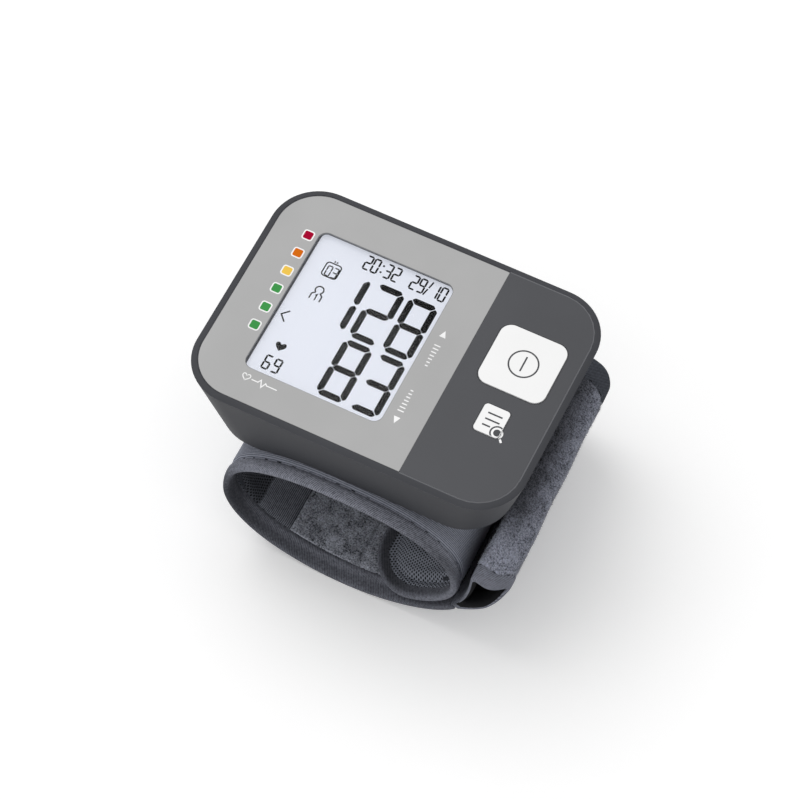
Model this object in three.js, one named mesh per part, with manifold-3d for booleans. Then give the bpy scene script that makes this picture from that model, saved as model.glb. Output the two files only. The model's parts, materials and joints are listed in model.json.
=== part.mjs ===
// Wrist blood pressure monitor: a display unit with two keys on a fabric cuff that wraps the wrist.
// Millimetres, +Z up. The origin lies on the flat under the cuff, below the middle of the display unit.
// The display faces up, its right-hand side is +X and its upper edge is +Y; the wrist passes along Y.

import * as THREE from "three";
import { mergeVertices } from "three/addons/utils/BufferGeometryUtils.js";
import Module from "manifold-3d";

const wasm = await Module();
wasm.setup();

// Display unit, outside
const FACE_LENGTH = 82.6;
const FACE_WIDTH = 60.6;
const FACE_CORNER = 11.9;
const EDGE_DROP = 0.5;
const END_TAPER = THREE.MathUtils.degToRad(12.2);
const SIDE_TAPER = THREE.MathUtils.degToRad(7.5);
const BODY_DEPTH = 18;
const HEEL_DEPTH = 22.6;
const HEEL_RADIUS = 5;
const WALL = 2;

// Clearances
const FIT = 0.3;
const FACE_FIT = 0.2;
const KEY_TRAVEL = 0.5;

// Front: two fascia plates, the display window and the keys
const RIM = 1.7;
const RIM_LAND = 0.3;
const FASCIA_THICK = 0.6;
const KEYPAD_LENGTH = 26.4;
const DECK_THICK = 1.8;
const SKIRT_THICK = 1.2;
const SKIRT_DEPTH = 2.8;
const WINDOW_END_MARGIN = 12.35;
const WINDOW_KEYPAD_MARGIN = 9.4;
const WINDOW_UPPER_MARGIN = 10.6;
const WINDOW_LOWER_MARGIN = 10.3;
const WINDOW_CORNER = 2.2;
const LENS_LAP = 1.1;
const LENS_THICK = 0.6;
const START_KEY = 16.5;
const START_KEY_Y = 8.2;
const START_KEY_CORNER = 2.8;
const KEY_END_ROOM = 13.55;
const MEMORY_KEY_LENGTH = 6.3;
const MEMORY_KEY_WIDTH = 7.3;
const MEMORY_KEY_Y = -8.05;
const MEMORY_KEY_CORNER = 0.9;
const KEY_PROUD = 0.25;
const KEY_FLANGE = 1;
const KEY_FLANGE_THICK = 0.5;
const KEY_STEM = 3.5;
const KEY_STEM_DROP = 0.4;

// Display stack and circuit board
const LCD_MARGIN = 2.6;
const LCD_THICK = 1.1;
const CONTACT_STRIP = 1.4;
const CONTACT_STRIP_HEIGHT = 2;
const BACKLIGHT_THICK = 0.8;
const BOARD_END_ROOM = 6.3;
const BOARD_SIDE_ROOM = 4.8;
const BOARD_CORNER = 9;
const BOARD_THICK = 1;
const SWITCH_SIZE = 4.6;
const SWITCH_PLUNGER = 2;
const SWITCH_PLUNGER_HEIGHT = 0.2;
const BUZZER_DIAMETER = 9;
const BUZZER_THICK = 1.8;
const BUZZER_Y = 19;

// Screws that hold the lower body to the top cover
const INNER_SCREW_ROOM = 28.8;
const OUTER_SCREW_ROOM = 14.3;
const SCREW_SIDE_ROOM = 7.5;
const SCREW_SHANK = 2;
const SCREW_HEAD = 3.8;
const SCREW_HEAD_THICK = 1.5;
const SCREW_LENGTH = 9.5;
const BOSS = 5;
const BOSS_MEETING_DEPTH = 10;

// Batteries: two AAA cells side by side along Y
const CELL_DIAMETER = 10.5;
const CELL_LENGTH = 44.5;
const CELL_NUB = 3.8;
const CELL_NUB_LENGTH = 1.1;
const CELL_EDGE = 0.6;
const CELL_PITCH = 10.9;
const CELL_END_ROOM = 15.7;
const CONTACT_THICK = 0.4;
const CONTACT_SIZE = 4.6;
const CONTACT_ROOM = 1;
const CONTACT_DIMPLE = 3.2;
const BAY_WALL = 1.2;
const BAY_TOP_DEPTH = 7;
const COVER_TOP_DEPTH = 6.8;
const COVER_HEEL_ROOM = 2.4;
const COVER_WIDTH = 46.6;
const COVER_TAB_WIDTH = 6;
const COVER_TAB_THICK = 1;
const COVER_TAB_Y = 14;
const GRIP_COUNT = 4;
const GRIP_PITCH = 1.6;
const GRIP_WIDTH = 0.8;
const GRIP_DEPTH = 0.5;
const GRIP_LENGTH = 20;
const GRIP_TOP_DEPTH = 9;

// Air pump, valve, pressure sensor and air path
const PUMP_END_ROOM = 17.3;
const PUMP_DIAMETER = 12;
const PUMP_FLATS = 9.4;
const MOTOR_LENGTH = 14;
const MOTOR_END_Y = -19;
const CRANK_ROOM = 5;
const CRANK_DISC = 6.5;
const CRANK_DISC_THICK = 1.8;
const CRANK_PIN = 1.6;
const CRANK_THROW = 1.8;
const MOTOR_SHAFT = 1.5;
const MOTOR_SHAFT_LENGTH = 3;
const PUMP_HEAD_LENGTH = 8;
const PUMP_CAGE_PLATE = 1.2;
const NIPPLE = 2.4;
const NIPPLE_LENGTH = 3;
const HOSE_WALL = 0.7;
const HOSE_BEND = 4.6;
const VALVE_ROOM = 2;
const VALVE_END_Y = -16;
const VALVE_SIZE = 8.6;
const VALVE_COIL_LENGTH = 10;
const VALVE_PLATE = 1;
const VALVE_PLUNGER = 3;
const VALVE_HEAD = 5;
const VALVE_HEAD_THICK = 1;
const VALVE_TRAVEL = 0.6;
const VALVE_NOZZLE_THICK = 2;
const SENSOR_Y = 16.5;
const SENSOR_SIZE = 7;
const SENSOR_THICK = 2.6;
const TEE_DIAMETER = 4.4;
const TEE_REACH = 4;

// Cuff: one band that runs from the short arm, over the top and round to the long arm
const CUFF_WIDTH = 65;
const CUFF_SPAN = 61;
const CUFF_RISE = 42;
const CUFF_SHIFT = 0.9;
const CUFF_GAP = 0.5;
const CUFF_TOP_SQUARENESS = 2.4;
const CUFF_BOTTOM_SQUARENESS = 1.9;
const LINING_THICK = 0.6;
const BLADDER_THICK = 0.7;
const STIFFENER_THICK = 0.4;
const SLEEVE_THICK = 0.6;
const HEM = 2.5;
const ARM_END_CAP = 2;
const SHORT_ARM_TURN = 170;
const LONG_ARM_TURN = -244;
const LAP_START_TURN = -80;
const LAP_END_TURN = -150;
const LAP_GAP = 0.5;
const SHORT_ARM_ROUND = 14;
const LINING_TURNS = [162, -238];
const BLADDER_MARGIN = 5;
const BLADDER_TURNS = [118, -140];
const STIFFENER_TURNS = [112, -170];
const LOOP_PATCH_TURNS = [-148, -184];
const LOOP_PATCH_THICK = 0.7;
const LOOP_PATCH_MARGIN = 4.5;
const FLAT_DEPTH = 0.5;
const BAND_STEP = 6;
const QUARTER_TURN = 90;

// Closure strap: a folded loop of webbing beside the right-hand side of the cuff
const STRAP_THICK = 1.5;
const STRAP_ROOT = 1.8;
const STRAP_FOLD_RADIUS = 2.2;
const STRAP_NEAR_REACH = 12.4;
const STRAP_FAR_REACH = 10.8;
const STRAP_FOLD_RISE = 17;
const STRAP_BULGE_REACH = 7.6;
const STRAP_BULGE_RISE = 5.4;
const STRAP_PEAK_REACH = 3.3;
const STRAP_PEAK_RISE = 21.5;
const STRAP_TONGUE_REACH = 2.3;
const STRAP_TONGUE_RISE = 6.4;
const STRAP_NEAR_CORNER = 6;
const STRAP_FAR_CORNER = 4.4;
const STRAP_STEPS = 5;
const HOOK_PATCH_THICK = 0.6;
const HOOK_PATCH_MARGIN = 6;
const HOOK_PATCH_LOW = 7;
const HOOK_PATCH_HIGH = 17;

// Facets
const ARC_STEPS = 8;
const ROUND_SIDES = 24;
const SMALL_SIDES = 14;
const FAR = 200;

// Depths below the face
const deckDepth = FASCIA_THICK + DECK_THICK;
const lensDepth = FASCIA_THICK + FIT;
const lcdDepth = lensDepth + LENS_THICK + FIT;
const lcdBottomDepth = lcdDepth + LCD_THICK;
const boardDepth = lcdBottomDepth + CONTACT_STRIP_HEIGHT;
const boardBottomDepth = boardDepth + BOARD_THICK;
const floorDepth = BODY_DEPTH - WALL;
const pumpDepth = floorDepth - FIT - PUMP_FLATS / 2;

// Places along and across the face
const faceEnd = FACE_LENGTH / 2;
const faceSide = FACE_WIDTH / 2;
const fasciaSplit = faceEnd - KEYPAD_LENGTH;
const windowLeft = WINDOW_END_MARGIN - faceEnd;
const windowRight = fasciaSplit - WINDOW_KEYPAD_MARGIN;
const windowLow = WINDOW_LOWER_MARGIN - faceSide;
const windowHigh = faceSide - WINDOW_UPPER_MARGIN;
const lcdLeft = windowLeft - LCD_MARGIN;
const lcdRight = windowRight + LCD_MARGIN;
const lcdLow = windowLow - LCD_MARGIN;
const lcdHigh = windowHigh + LCD_MARGIN;
const keyX = faceEnd - KEY_END_ROOM;
const outerCellX = CELL_END_ROOM - faceEnd;
const innerCellX = outerCellX + CELL_PITCH;
const bayX = innerCellX + CELL_DIAMETER / 2 + FIT;
const bayY = CELL_LENGTH / 2 + CONTACT_ROOM + CONTACT_THICK + FIT;
const valveX = bayX + BAY_WALL + VALVE_ROOM + VALVE_SIZE / 2;
const pumpX = faceEnd - PUMP_END_ROOM;
const sensorX = (valveX + pumpX) / 2;
const buzzerX = bayX + BAY_WALL + FIT + BUZZER_DIAMETER / 2;

// Cuff wall, built up from the lining outwards with a clearance between layers
const liningOut = LINING_THICK;
const bladderIn = liningOut + FIT;
const bladderOut = bladderIn + BLADDER_THICK;
const stiffenerIn = bladderOut + FIT;
const stiffenerOut = stiffenerIn + STIFFENER_THICK;
const sleeveIn = stiffenerOut + FIT;
const cuffWall = sleeveIn + SLEEVE_THICK;
const lapStep = cuffWall + LAP_GAP;
const cuffTop = -(BODY_DEPTH + CUFF_GAP);
const cuffCentre = cuffTop - CUFF_RISE / 2;
const faceHeight = -(cuffTop - CUFF_RISE - lapStep) - FLAT_DEPTH;

// Solids from geometry, and back
function solidOf(geometry) {
  const bare = geometry.clone();
  bare.deleteAttribute("normal");
  bare.deleteAttribute("uv");
  const merged = mergeVertices(bare, 1e-5);
  const vertProperties = new Float32Array(merged.attributes.position.array);
  const triVerts = new Uint32Array(merged.index.array);
  return new wasm.Manifold(new wasm.Mesh({ numProp: 3, vertProperties, triVerts }));
}

function geometryOf(solid) {
  const mesh = solid.getMesh();
  const geometry = new THREE.BufferGeometry();
  geometry.setAttribute("position", new THREE.BufferAttribute(mesh.vertProperties, 3));
  geometry.setIndex(new THREE.BufferAttribute(mesh.triVerts, 1));
  geometry.computeVertexNormals();
  return geometry;
}

function roundedRectangle(length, width, corner, x = 0, y = 0) {
  const shape = new THREE.Shape();
  const right = x + length / 2 - corner;
  const top = y + width / 2 - corner;
  const left = x - length / 2 + corner;
  const bottom = y - width / 2 + corner;
  shape.absarc(right, top, corner, 0, Math.PI / 2);
  shape.absarc(left, top, corner, Math.PI / 2, Math.PI);
  shape.absarc(left, bottom, corner, Math.PI, 1.5 * Math.PI);
  shape.absarc(right, bottom, corner, 1.5 * Math.PI, 2 * Math.PI);
  shape.closePath();
  return shape;
}

function extrude(shape, depth, curveSegments) {
  return new THREE.ExtrudeGeometry(shape, { depth, bevelEnabled: false, curveSegments });
}

// A plate of the given plan outline between two depths below the face
function plate(shape, topDepth, bottomDepth, curveSegments = ARC_STEPS) {
  const geometry = extrude(shape, bottomDepth - topDepth, curveSegments);
  return solidOf(geometry.translate(0, 0, -bottomDepth));
}

// A solid of the given X-Z section between two places along Y
function sectionAlongY(shape, lowY, highY, curveSegments = ARC_STEPS) {
  const geometry = extrude(shape, highY - lowY, curveSegments);
  return solidOf(geometry.rotateX(Math.PI / 2).translate(0, highY, 0));
}

function block(lowX, highX, lowY, highY, topDepth, bottomDepth) {
  const geometry = new THREE.BoxGeometry(highX - lowX, highY - lowY, bottomDepth - topDepth);
  const middle = [(lowX + highX) / 2, (lowY + highY) / 2, -(topDepth + bottomDepth) / 2];
  return solidOf(geometry.translate(...middle));
}

function upright(diameter, x, y, topDepth, bottomDepth, sides = ROUND_SIDES) {
  const length = bottomDepth - topDepth;
  const geometry = new THREE.CylinderGeometry(diameter / 2, diameter / 2, length, sides);
  return solidOf(geometry.rotateX(Math.PI / 2).translate(x, y, -(topDepth + bottomDepth) / 2));
}

function rodAlongY(diameter, x, depth, lowY, highY, sides = ROUND_SIDES) {
  const geometry = new THREE.CylinderGeometry(diameter / 2, diameter / 2, highY - lowY, sides);
  return solidOf(geometry.translate(x, (lowY + highY) / 2, -depth));
}

function rodAlongX(diameter, y, depth, lowX, highX, sides = ROUND_SIDES) {
  const geometry = new THREE.CylinderGeometry(diameter / 2, diameter / 2, highX - lowX, sides);
  return solidOf(geometry.rotateZ(Math.PI / 2).translate((lowX + highX) / 2, y, -depth));
}

// Joins rings of equal point count into a closed skin; each ring runs anticlockwise seen from the last ring
function skin(rings, capFaces) {
  const count = rings[0].length;
  const position = rings.flat().flatMap((point) => [point.x, point.y, point.z]);
  const index = [];
  for (let ring = 0; ring + 1 < rings.length; ring += 1) {
    for (let i = 0; i < count; i += 1) {
      const a = ring * count + i;
      const b = ring * count + ((i + 1) % count);
      index.push(a, b, b + count, a, b + count, a + count);
    }
  }
  const last = (rings.length - 1) * count;
  for (const [a, b, c] of capFaces) {
    index.push(a, c, b, last + a, last + b, last + c);
  }
  const geometry = new THREE.BufferGeometry();
  geometry.setAttribute("position", new THREE.Float32BufferAttribute(position, 3));
  geometry.setIndex(index);
  return solidOf(geometry);
}

function fanFaces(count) {
  return Array.from({ length: count - 2 }, (_, i) => [0, i + 1, i + 2]);
}

// Tapered display unit: a stack of rounded rectangles, drawn in by a wall where it makes the hollow.
// Its rim slopes from a flat land beside the front plates down to the crease above the walls.
function unitRing(depth, inset) {
  const taperDepth = Math.max(0, depth - EDGE_DROP);
  const slope = (RIM - FIT - RIM_LAND) * Math.max(0, 1 - depth / EDGE_DROP);
  const length = FACE_LENGTH - 2 * (inset + slope + taperDepth * Math.tan(END_TAPER));
  const width = FACE_WIDTH - 2 * (inset + slope + taperDepth * Math.tan(SIDE_TAPER));
  const outline = roundedRectangle(length, width, FACE_CORNER - inset - slope);
  const points = outline.getPoints(ARC_STEPS).slice(0, -1);
  return points.map((point) => new THREE.Vector3(point.x, point.y, -depth));
}

function unitSolid(inset, topDepth, bottomDepth) {
  const depths = [bottomDepth, topDepth];
  if (topDepth < EDGE_DROP) {
    depths.splice(1, 0, EDGE_DROP);
  }
  const rings = depths.map((depth) => unitRing(depth, inset));
  return skin(rings, fanFaces(rings[0].length));
}

// The space above the underside: flat on the right, along the cuff on the left, down to the battery heel
function aboveUnderside(inset) {
  const shape = new THREE.Shape();
  const heel = -(HEEL_DEPTH - inset);
  const wallX = -(faceEnd - inset - (-heel - EDGE_DROP) * Math.tan(END_TAPER));
  const round = HEEL_RADIUS - inset;
  shape.moveTo(FAR, FAR);
  shape.lineTo(-FAR, FAR);
  shape.lineTo(-FAR, heel + round * Math.cos(END_TAPER));
  shape.lineTo(wallX - round * Math.sin(END_TAPER), heel + round * Math.cos(END_TAPER));
  shape.quadraticCurveTo(wallX, heel, wallX + round, heel);
  const onCuff = [];
  for (let turn = 0; turn > -QUARTER_TURN; turn -= BAND_STEP) {
    const point = cuffPoint(turn, cuffWall + CUFF_GAP + inset);
    if (point.x > wallX + round) {
      onCuff.unshift([point.x, Math.max(point.y, heel)]);
    }
  }
  onCuff.forEach(([x, z]) => shape.lineTo(x, z));
  shape.lineTo(FAR, -(BODY_DEPTH - inset));
  shape.closePath();
  return sectionAlongY(shape, -FACE_WIDTH, FACE_WIDTH);
}

// A point of the cuff's section; turn is in degrees from the top, towards +X, and out is from the lining
function cuffPoint(turn, out) {
  const angle = THREE.MathUtils.degToRad(turn);
  const upper = Math.cos(angle) >= 0;
  const power = 2 / (upper ? CUFF_TOP_SQUARENESS : CUFF_BOTTOM_SQUARENESS);
  const lap = lapStep * THREE.MathUtils.smoothstep(-turn, -LAP_START_TURN, -LAP_END_TURN);
  const grow = out + lap - cuffWall;
  const eased = (value) => Math.sign(value) * Math.abs(value) ** power;
  const x = CUFF_SHIFT + (CUFF_SPAN / 2 + grow) * eased(Math.sin(angle));
  const z = cuffCentre + (CUFF_RISE / 2 + grow) * eased(Math.cos(angle));
  return new THREE.Vector2(x, z);
}

// Half the cuff's width, rounded off towards the tip of the short arm
function cuffHalfWidth(turn) {
  const tip = cuffPoint(SHORT_ARM_TURN, 0);
  const fromTip = turn > QUARTER_TURN ? cuffPoint(turn, 0).distanceTo(tip) : SHORT_ARM_ROUND;
  const short = Math.max(0, SHORT_ARM_ROUND - fromTip);
  const drawnIn = SHORT_ARM_ROUND - Math.sqrt(SHORT_ARM_ROUND ** 2 - short ** 2);
  return CUFF_WIDTH / 2 - drawnIn;
}

// The turns where a band has rings: its two ends and the steps between them that all bands share
function bandTurns(startTurn, endTurn) {
  const turns = [endTurn];
  const first = Math.ceil((endTurn + 1) / BAND_STEP) * BAND_STEP;
  for (let turn = first; turn < startTurn - 1; turn += BAND_STEP) {
    turns.push(turn);
  }
  turns.push(startTurn);
  return turns;
}

// A band of the cuff between two turns; section gives the (y, out) outline for a half width
function cuffBand(startTurn, endTurn, section) {
  const ringAt = (turn) =>
    section(cuffHalfWidth(turn)).map((point) => {
      const onSection = cuffPoint(turn, point.y);
      return new THREE.Vector3(onSection.x, point.x, onSection.y);
    });
  const rings = bandTurns(startTurn, endTurn).map(ringAt);
  return skin(rings, THREE.ShapeUtils.triangulateShape(section(CUFF_WIDTH / 2), []));
}

function bandSection(inner, outer, margin) {
  return (half) => [
    new THREE.Vector2(-half + margin, inner),
    new THREE.Vector2(half - margin, inner),
    new THREE.Vector2(half - margin, outer),
    new THREE.Vector2(-half + margin, outer),
  ];
}

// The sleeve's section: the outer cloth with a hem turned in along both edges
function sleeveSection(half) {
  const hem = half - HEM;
  const outline = [[-half, 0], [-hem, 0], [-hem, sleeveIn], [hem, sleeveIn]];
  outline.push([hem, 0], [half, 0], [half, cuffWall], [-half, cuffWall]);
  return outline.map(([y, out]) => new THREE.Vector2(y, out));
}

function turnsFor(length) {
  return THREE.MathUtils.radToDeg(length / (CUFF_SPAN / 2));
}

// Materials
function finish(color, roughness, metalness = 0) {
  return new THREE.MeshStandardMaterial({ color, roughness, metalness });
}

const casePlastic = finish(0x4d4e52, 0.5);
const lightPlastic = finish(0xb4b4b4, 0.45);
const whitePlastic = finish(0xf6f6f6, 0.4);
const clearPlastic = new THREE.MeshStandardMaterial({
  color: 0xeef2f6,
  roughness: 0.1,
  transparent: true,
  opacity: 0.2,
});
const displayGlass = finish(0xe6e9f3, 0.2);
const blackRubber = finish(0x202022, 0.8);
const boardGreen = finish(0x1f5a38, 0.5);
const steel = finish(0xb8babd, 0.35, 1);
const cellSleeve = finish(0x6a7078, 0.4, 0.3);
const copper = finish(0xb5793f, 0.4, 0.8);
const softTube = finish(0xd9d9d4, 0.6);
const bladderFilm = finish(0x3a3c42, 0.6);
const cuffCloth = finish(0x4a4d57, 0.9);
const liningCloth = finish(0x3c4048, 0.9);
const velour = finish(0x565a66, 0.95);

const monitor = new THREE.Group();
const unit = new THREE.Group();
unit.position.z = faceHeight;
monitor.add(unit);

function addPiece(name, solid, material) {
  const mesh = new THREE.Mesh(geometryOf(solid), material);
  mesh.name = name;
  unit.add(mesh);
}

const fasciaLength = FACE_LENGTH - 2 * RIM;
const fasciaWidth = FACE_WIDTH - 2 * RIM;
const fasciaCorner = FACE_CORNER - RIM;
const screwY = faceSide - SCREW_SIDE_ROOM;
const screwXs = [faceEnd - INNER_SCREW_ROOM, faceEnd - OUTER_SCREW_ROOM];
const screwPlaces = screwXs.flatMap((x) => [[x, -screwY], [x, screwY]]);
const keys = [
  { name: "start", y: START_KEY_Y, length: START_KEY, width: START_KEY, corner: START_KEY_CORNER },
  {
    name: "memory",
    y: MEMORY_KEY_Y,
    length: MEMORY_KEY_LENGTH,
    width: MEMORY_KEY_WIDTH,
    corner: MEMORY_KEY_CORNER,
  },
];

function keyOutline(key, grow) {
  return roundedRectangle(key.length + 2 * grow, key.width + 2 * grow, key.corner + grow, keyX, key.y);
}

function windowOutline(grow) {
  const length = windowRight - windowLeft + 2 * grow;
  const width = windowHigh - windowLow + 2 * grow;
  const middle = [(windowLeft + windowRight) / 2, (windowLow + windowHigh) / 2];
  return roundedRectangle(length, width, WINDOW_CORNER + grow, ...middle);
}

// Display unit: cover, body and battery door
function makeTopCover() {
  const skirtBottom = deckDepth + SKIRT_DEPTH;
  const shell = unitSolid(0, 0, deckDepth);
  const skirt = unitSolid(WALL + FIT, deckDepth - FACE_FIT, skirtBottom);
  const inside = unitSolid(WALL + FIT + SKIRT_THICK, deckDepth, skirtBottom + FIT);
  const fasciaGrown = roundedRectangle(fasciaLength + 2 * FIT, fasciaWidth + 2 * FIT, fasciaCorner + FIT);
  let cover = shell.add(skirt).subtract(inside);
  cover = cover.subtract(plate(fasciaGrown, -FIT, FASCIA_THICK));
  const lcdSides = [lcdLeft - FIT, lcdRight + FIT, lcdLow - FIT, lcdHigh + FIT];
  cover = cover.subtract(block(...lcdSides, 0, deckDepth + FIT));
  for (const key of keys) {
    cover = cover.subtract(plate(keyOutline(key, FIT), 0, deckDepth + FIT));
  }
  for (const [x, y] of screwPlaces) {
    const boss = upright(BOSS, x, y, deckDepth - FACE_FIT, BOSS_MEETING_DEPTH);
    const bore = upright(SCREW_SHANK + 2 * FIT, x, y, deckDepth, BOSS_MEETING_DEPTH + FIT, SMALL_SIDES);
    cover = cover.add(boss).subtract(bore);
  }
  return cover;
}

// Tub wall with the underside closed, before openings are cut
function tubWall() {
  const outside = unitSolid(0, deckDepth, HEEL_DEPTH + WALL).intersect(aboveUnderside(0));
  const hollow = unitSolid(WALL, deckDepth - FIT, HEEL_DEPTH + WALL).intersect(aboveUnderside(WALL));
  return outside.subtract(hollow);
}

function doorRegion(clearance) {
  const halfWidth = COVER_WIDTH / 2 + clearance;
  const top = COVER_TOP_DEPTH - clearance;
  const bottom = HEEL_DEPTH - COVER_HEEL_ROOM + clearance;
  return block(-FAR, outerCellX - FIT, -halfWidth, halfWidth, top, bottom);
}

function makeLowerBody() {
  let body = tubWall().subtract(doorRegion(FIT));
  const hollow = unitSolid(WALL - FACE_FIT, deckDepth, HEEL_DEPTH + WALL);
  const inFloor = hollow.intersect(aboveUnderside(WALL - FACE_FIT));
  for (const [x, y] of screwPlaces) {
    const bossTop = BOSS_MEETING_DEPTH + FACE_FIT;
    const headRoom = upright(SCREW_HEAD + 2 * FIT, x, y, floorDepth + FACE_FIT, BODY_DEPTH + FIT);
    const shankRoom = upright(SCREW_SHANK + 2 * FIT, x, y, bossTop - FIT, BODY_DEPTH + FIT, SMALL_SIDES);
    const headSeat = floorDepth + FACE_FIT - SCREW_HEAD_THICK;
    const headBore = upright(SCREW_HEAD + 2 * FIT, x, y, headSeat, BODY_DEPTH + FIT);
    const boss = upright(SCREW_HEAD + 2 * FIT + BAY_WALL * 2, x, y, bossTop, BODY_DEPTH - FACE_FIT);
    body = body.add(boss.intersect(inFloor)).subtract(headRoom).subtract(shankRoom).subtract(headBore);
  }
  const partition = block(bayX, bayX + BAY_WALL, -bayY, bayY, BAY_TOP_DEPTH, HEEL_DEPTH);
  body = body.add(partition.intersect(inFloor));
  for (const side of [-1, 1]) {
    const low = Math.min(side * bayY, side * (bayY + BAY_WALL));
    const end = block(outerCellX, bayX + BAY_WALL, low, low + BAY_WALL, BAY_TOP_DEPTH, HEEL_DEPTH);
    body = body.add(end.intersect(inFloor));
  }
  const port = upright(NIPPLE + 2 * FIT, sensorX, SENSOR_Y, floorDepth - FIT, BODY_DEPTH + FIT, SMALL_SIDES);
  return body.subtract(port);
}

// The door takes the wall's own form, with grip slots outside and two tabs that slide in under the wall
function makeBatteryCover() {
  let cover = tubWall().intersect(doorRegion(0));
  const band = unitSolid(-FIT, deckDepth, HEEL_DEPTH).subtract(unitSolid(GRIP_DEPTH, 0, HEEL_DEPTH + FIT));
  for (let i = 0; i < GRIP_COUNT; i += 1) {
    const top = GRIP_TOP_DEPTH + i * GRIP_PITCH;
    const slot = block(-FAR, 0, -GRIP_LENGTH / 2, GRIP_LENGTH / 2, top, top + GRIP_WIDTH);
    cover = cover.subtract(slot.intersect(band));
  }
  const inside = unitSolid(WALL - FACE_FIT, deckDepth, HEEL_DEPTH);
  const tabTop = COVER_TOP_DEPTH + FIT;
  for (const y of [-COVER_TAB_Y, COVER_TAB_Y]) {
    const low = y - COVER_TAB_WIDTH / 2;
    const tab = block(-faceEnd, outerCellX, low, low + COVER_TAB_WIDTH, tabTop, tabTop + COVER_TAB_THICK);
    cover = cover.add(tab.intersect(inside));
  }
  return cover;
}

function makeScrew([x, y]) {
  const seat = floorDepth + FACE_FIT - SCREW_HEAD_THICK + FIT;
  const head = upright(SCREW_HEAD, x, y, seat, seat + SCREW_HEAD_THICK);
  const shank = upright(SCREW_SHANK, x, y, seat - SCREW_LENGTH, seat + FACE_FIT, SMALL_SIDES);
  return head.add(shank);
}

addPiece("top_cover", makeTopCover(), casePlastic);
addPiece("lower_body", makeLowerBody(), casePlastic);
addPiece("battery_cover", makeBatteryCover(), casePlastic);
screwPlaces.forEach((place, i) => addPiece(`housing_screw_${i + 1}`, makeScrew(place), steel));

// Front plates, window and keys
function makeFascia(left) {
  const outline = roundedRectangle(fasciaLength, fasciaWidth, fasciaCorner);
  const keptX = left ? [-FAR, fasciaSplit - FACE_FIT / 2] : [fasciaSplit + FACE_FIT / 2, FAR];
  const kept = block(keptX[0], keptX[1], -FACE_WIDTH, FACE_WIDTH, -FIT, FASCIA_THICK + FIT);
  return plate(outline, 0, FASCIA_THICK).intersect(kept);
}

function makeKeypadFascia() {
  let fascia = makeFascia(false);
  for (const key of keys) {
    fascia = fascia.subtract(plate(keyOutline(key, FIT), -FIT, FASCIA_THICK + FIT));
  }
  return fascia;
}

function makeKey(key) {
  const flangeTop = deckDepth + FIT;
  const flangeBottom = flangeTop + KEY_FLANGE_THICK;
  const cap = plate(keyOutline(key, 0), -KEY_PROUD, flangeBottom);
  const flange = plate(keyOutline(key, KEY_FLANGE), flangeTop, flangeBottom);
  const stem = upright(KEY_STEM, keyX, key.y, flangeTop, flangeBottom + KEY_STEM_DROP, SMALL_SIDES);
  return cap.add(flange).add(stem);
}

function makeSwitch(key) {
  const plungerTop = deckDepth + FIT + KEY_FLANGE_THICK + KEY_STEM_DROP + KEY_TRAVEL + FACE_FIT / 4;
  const bodyTop = plungerTop + SWITCH_PLUNGER_HEIGHT;
  const half = SWITCH_SIZE / 2;
  const body = block(keyX - half, keyX + half, key.y - half, key.y + half, bodyTop, boardDepth);
  return body.add(upright(SWITCH_PLUNGER, keyX, key.y, plungerTop, boardDepth, SMALL_SIDES));
}

const windowCut = plate(windowOutline(0), -FIT, FASCIA_THICK + FIT);
addPiece("display_fascia", makeFascia(true).subtract(windowCut), lightPlastic);
addPiece("keypad_fascia", makeKeypadFascia(), casePlastic);
const lens = plate(windowOutline(LENS_LAP), lensDepth, lensDepth + LENS_THICK);
addPiece("display_lens", lens, clearPlastic);
for (const key of keys) {
  addPiece(`${key.name}_key`, makeKey(key), whitePlastic);
  addPiece(`${key.name}_switch`, makeSwitch(key), blackRubber);
}

// Display stack and circuit board
const lightLow = lcdLow + CONTACT_STRIP + FIT;
const lightHigh = lcdHigh - CONTACT_STRIP - FIT;
const lightTop = lcdBottomDepth + FACE_FIT;

function makeBoard() {
  const length = FACE_LENGTH - 2 * BOARD_END_ROOM;
  const width = FACE_WIDTH - 2 * BOARD_SIDE_ROOM;
  let board = plate(roundedRectangle(length, width, BOARD_CORNER), boardDepth, boardBottomDepth);
  for (const [x, y] of screwPlaces) {
    const hole = upright(BOSS + 2 * FIT, x, y, boardDepth - FIT, boardBottomDepth + FIT);
    board = board.subtract(hole);
  }
  return board;
}

addPiece("lcd_panel", block(lcdLeft, lcdRight, lcdLow, lcdHigh, lcdDepth, lcdBottomDepth), displayGlass);
const backlight = block(lcdLeft, lcdRight, lightLow, lightHigh, lightTop, lightTop + BACKLIGHT_THICK);
addPiece("lcd_backlight", backlight, whitePlastic);
const lowStrip = block(lcdLeft, lcdRight, lcdLow, lcdLow + CONTACT_STRIP, lcdBottomDepth, boardDepth);
addPiece("lcd_contact_strip_lower", lowStrip, blackRubber);
const highStrip = block(lcdLeft, lcdRight, lcdHigh - CONTACT_STRIP, lcdHigh, lcdBottomDepth, boardDepth);
addPiece("lcd_contact_strip_upper", highStrip, blackRubber);
addPiece("main_board", makeBoard(), boardGreen);
const buzzerBottom = boardBottomDepth + BUZZER_THICK;
addPiece("buzzer", upright(BUZZER_DIAMETER, buzzerX, BUZZER_Y, boardBottomDepth, buzzerBottom), blackRubber);

// Batteries and their contacts
const cells = [
  { x: outerCellX, depth: cellRestDepth(outerCellX), way: 1 },
  { x: innerCellX, depth: boardBottomDepth + FIT + CELL_DIAMETER / 2, way: -1 },
];

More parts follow.
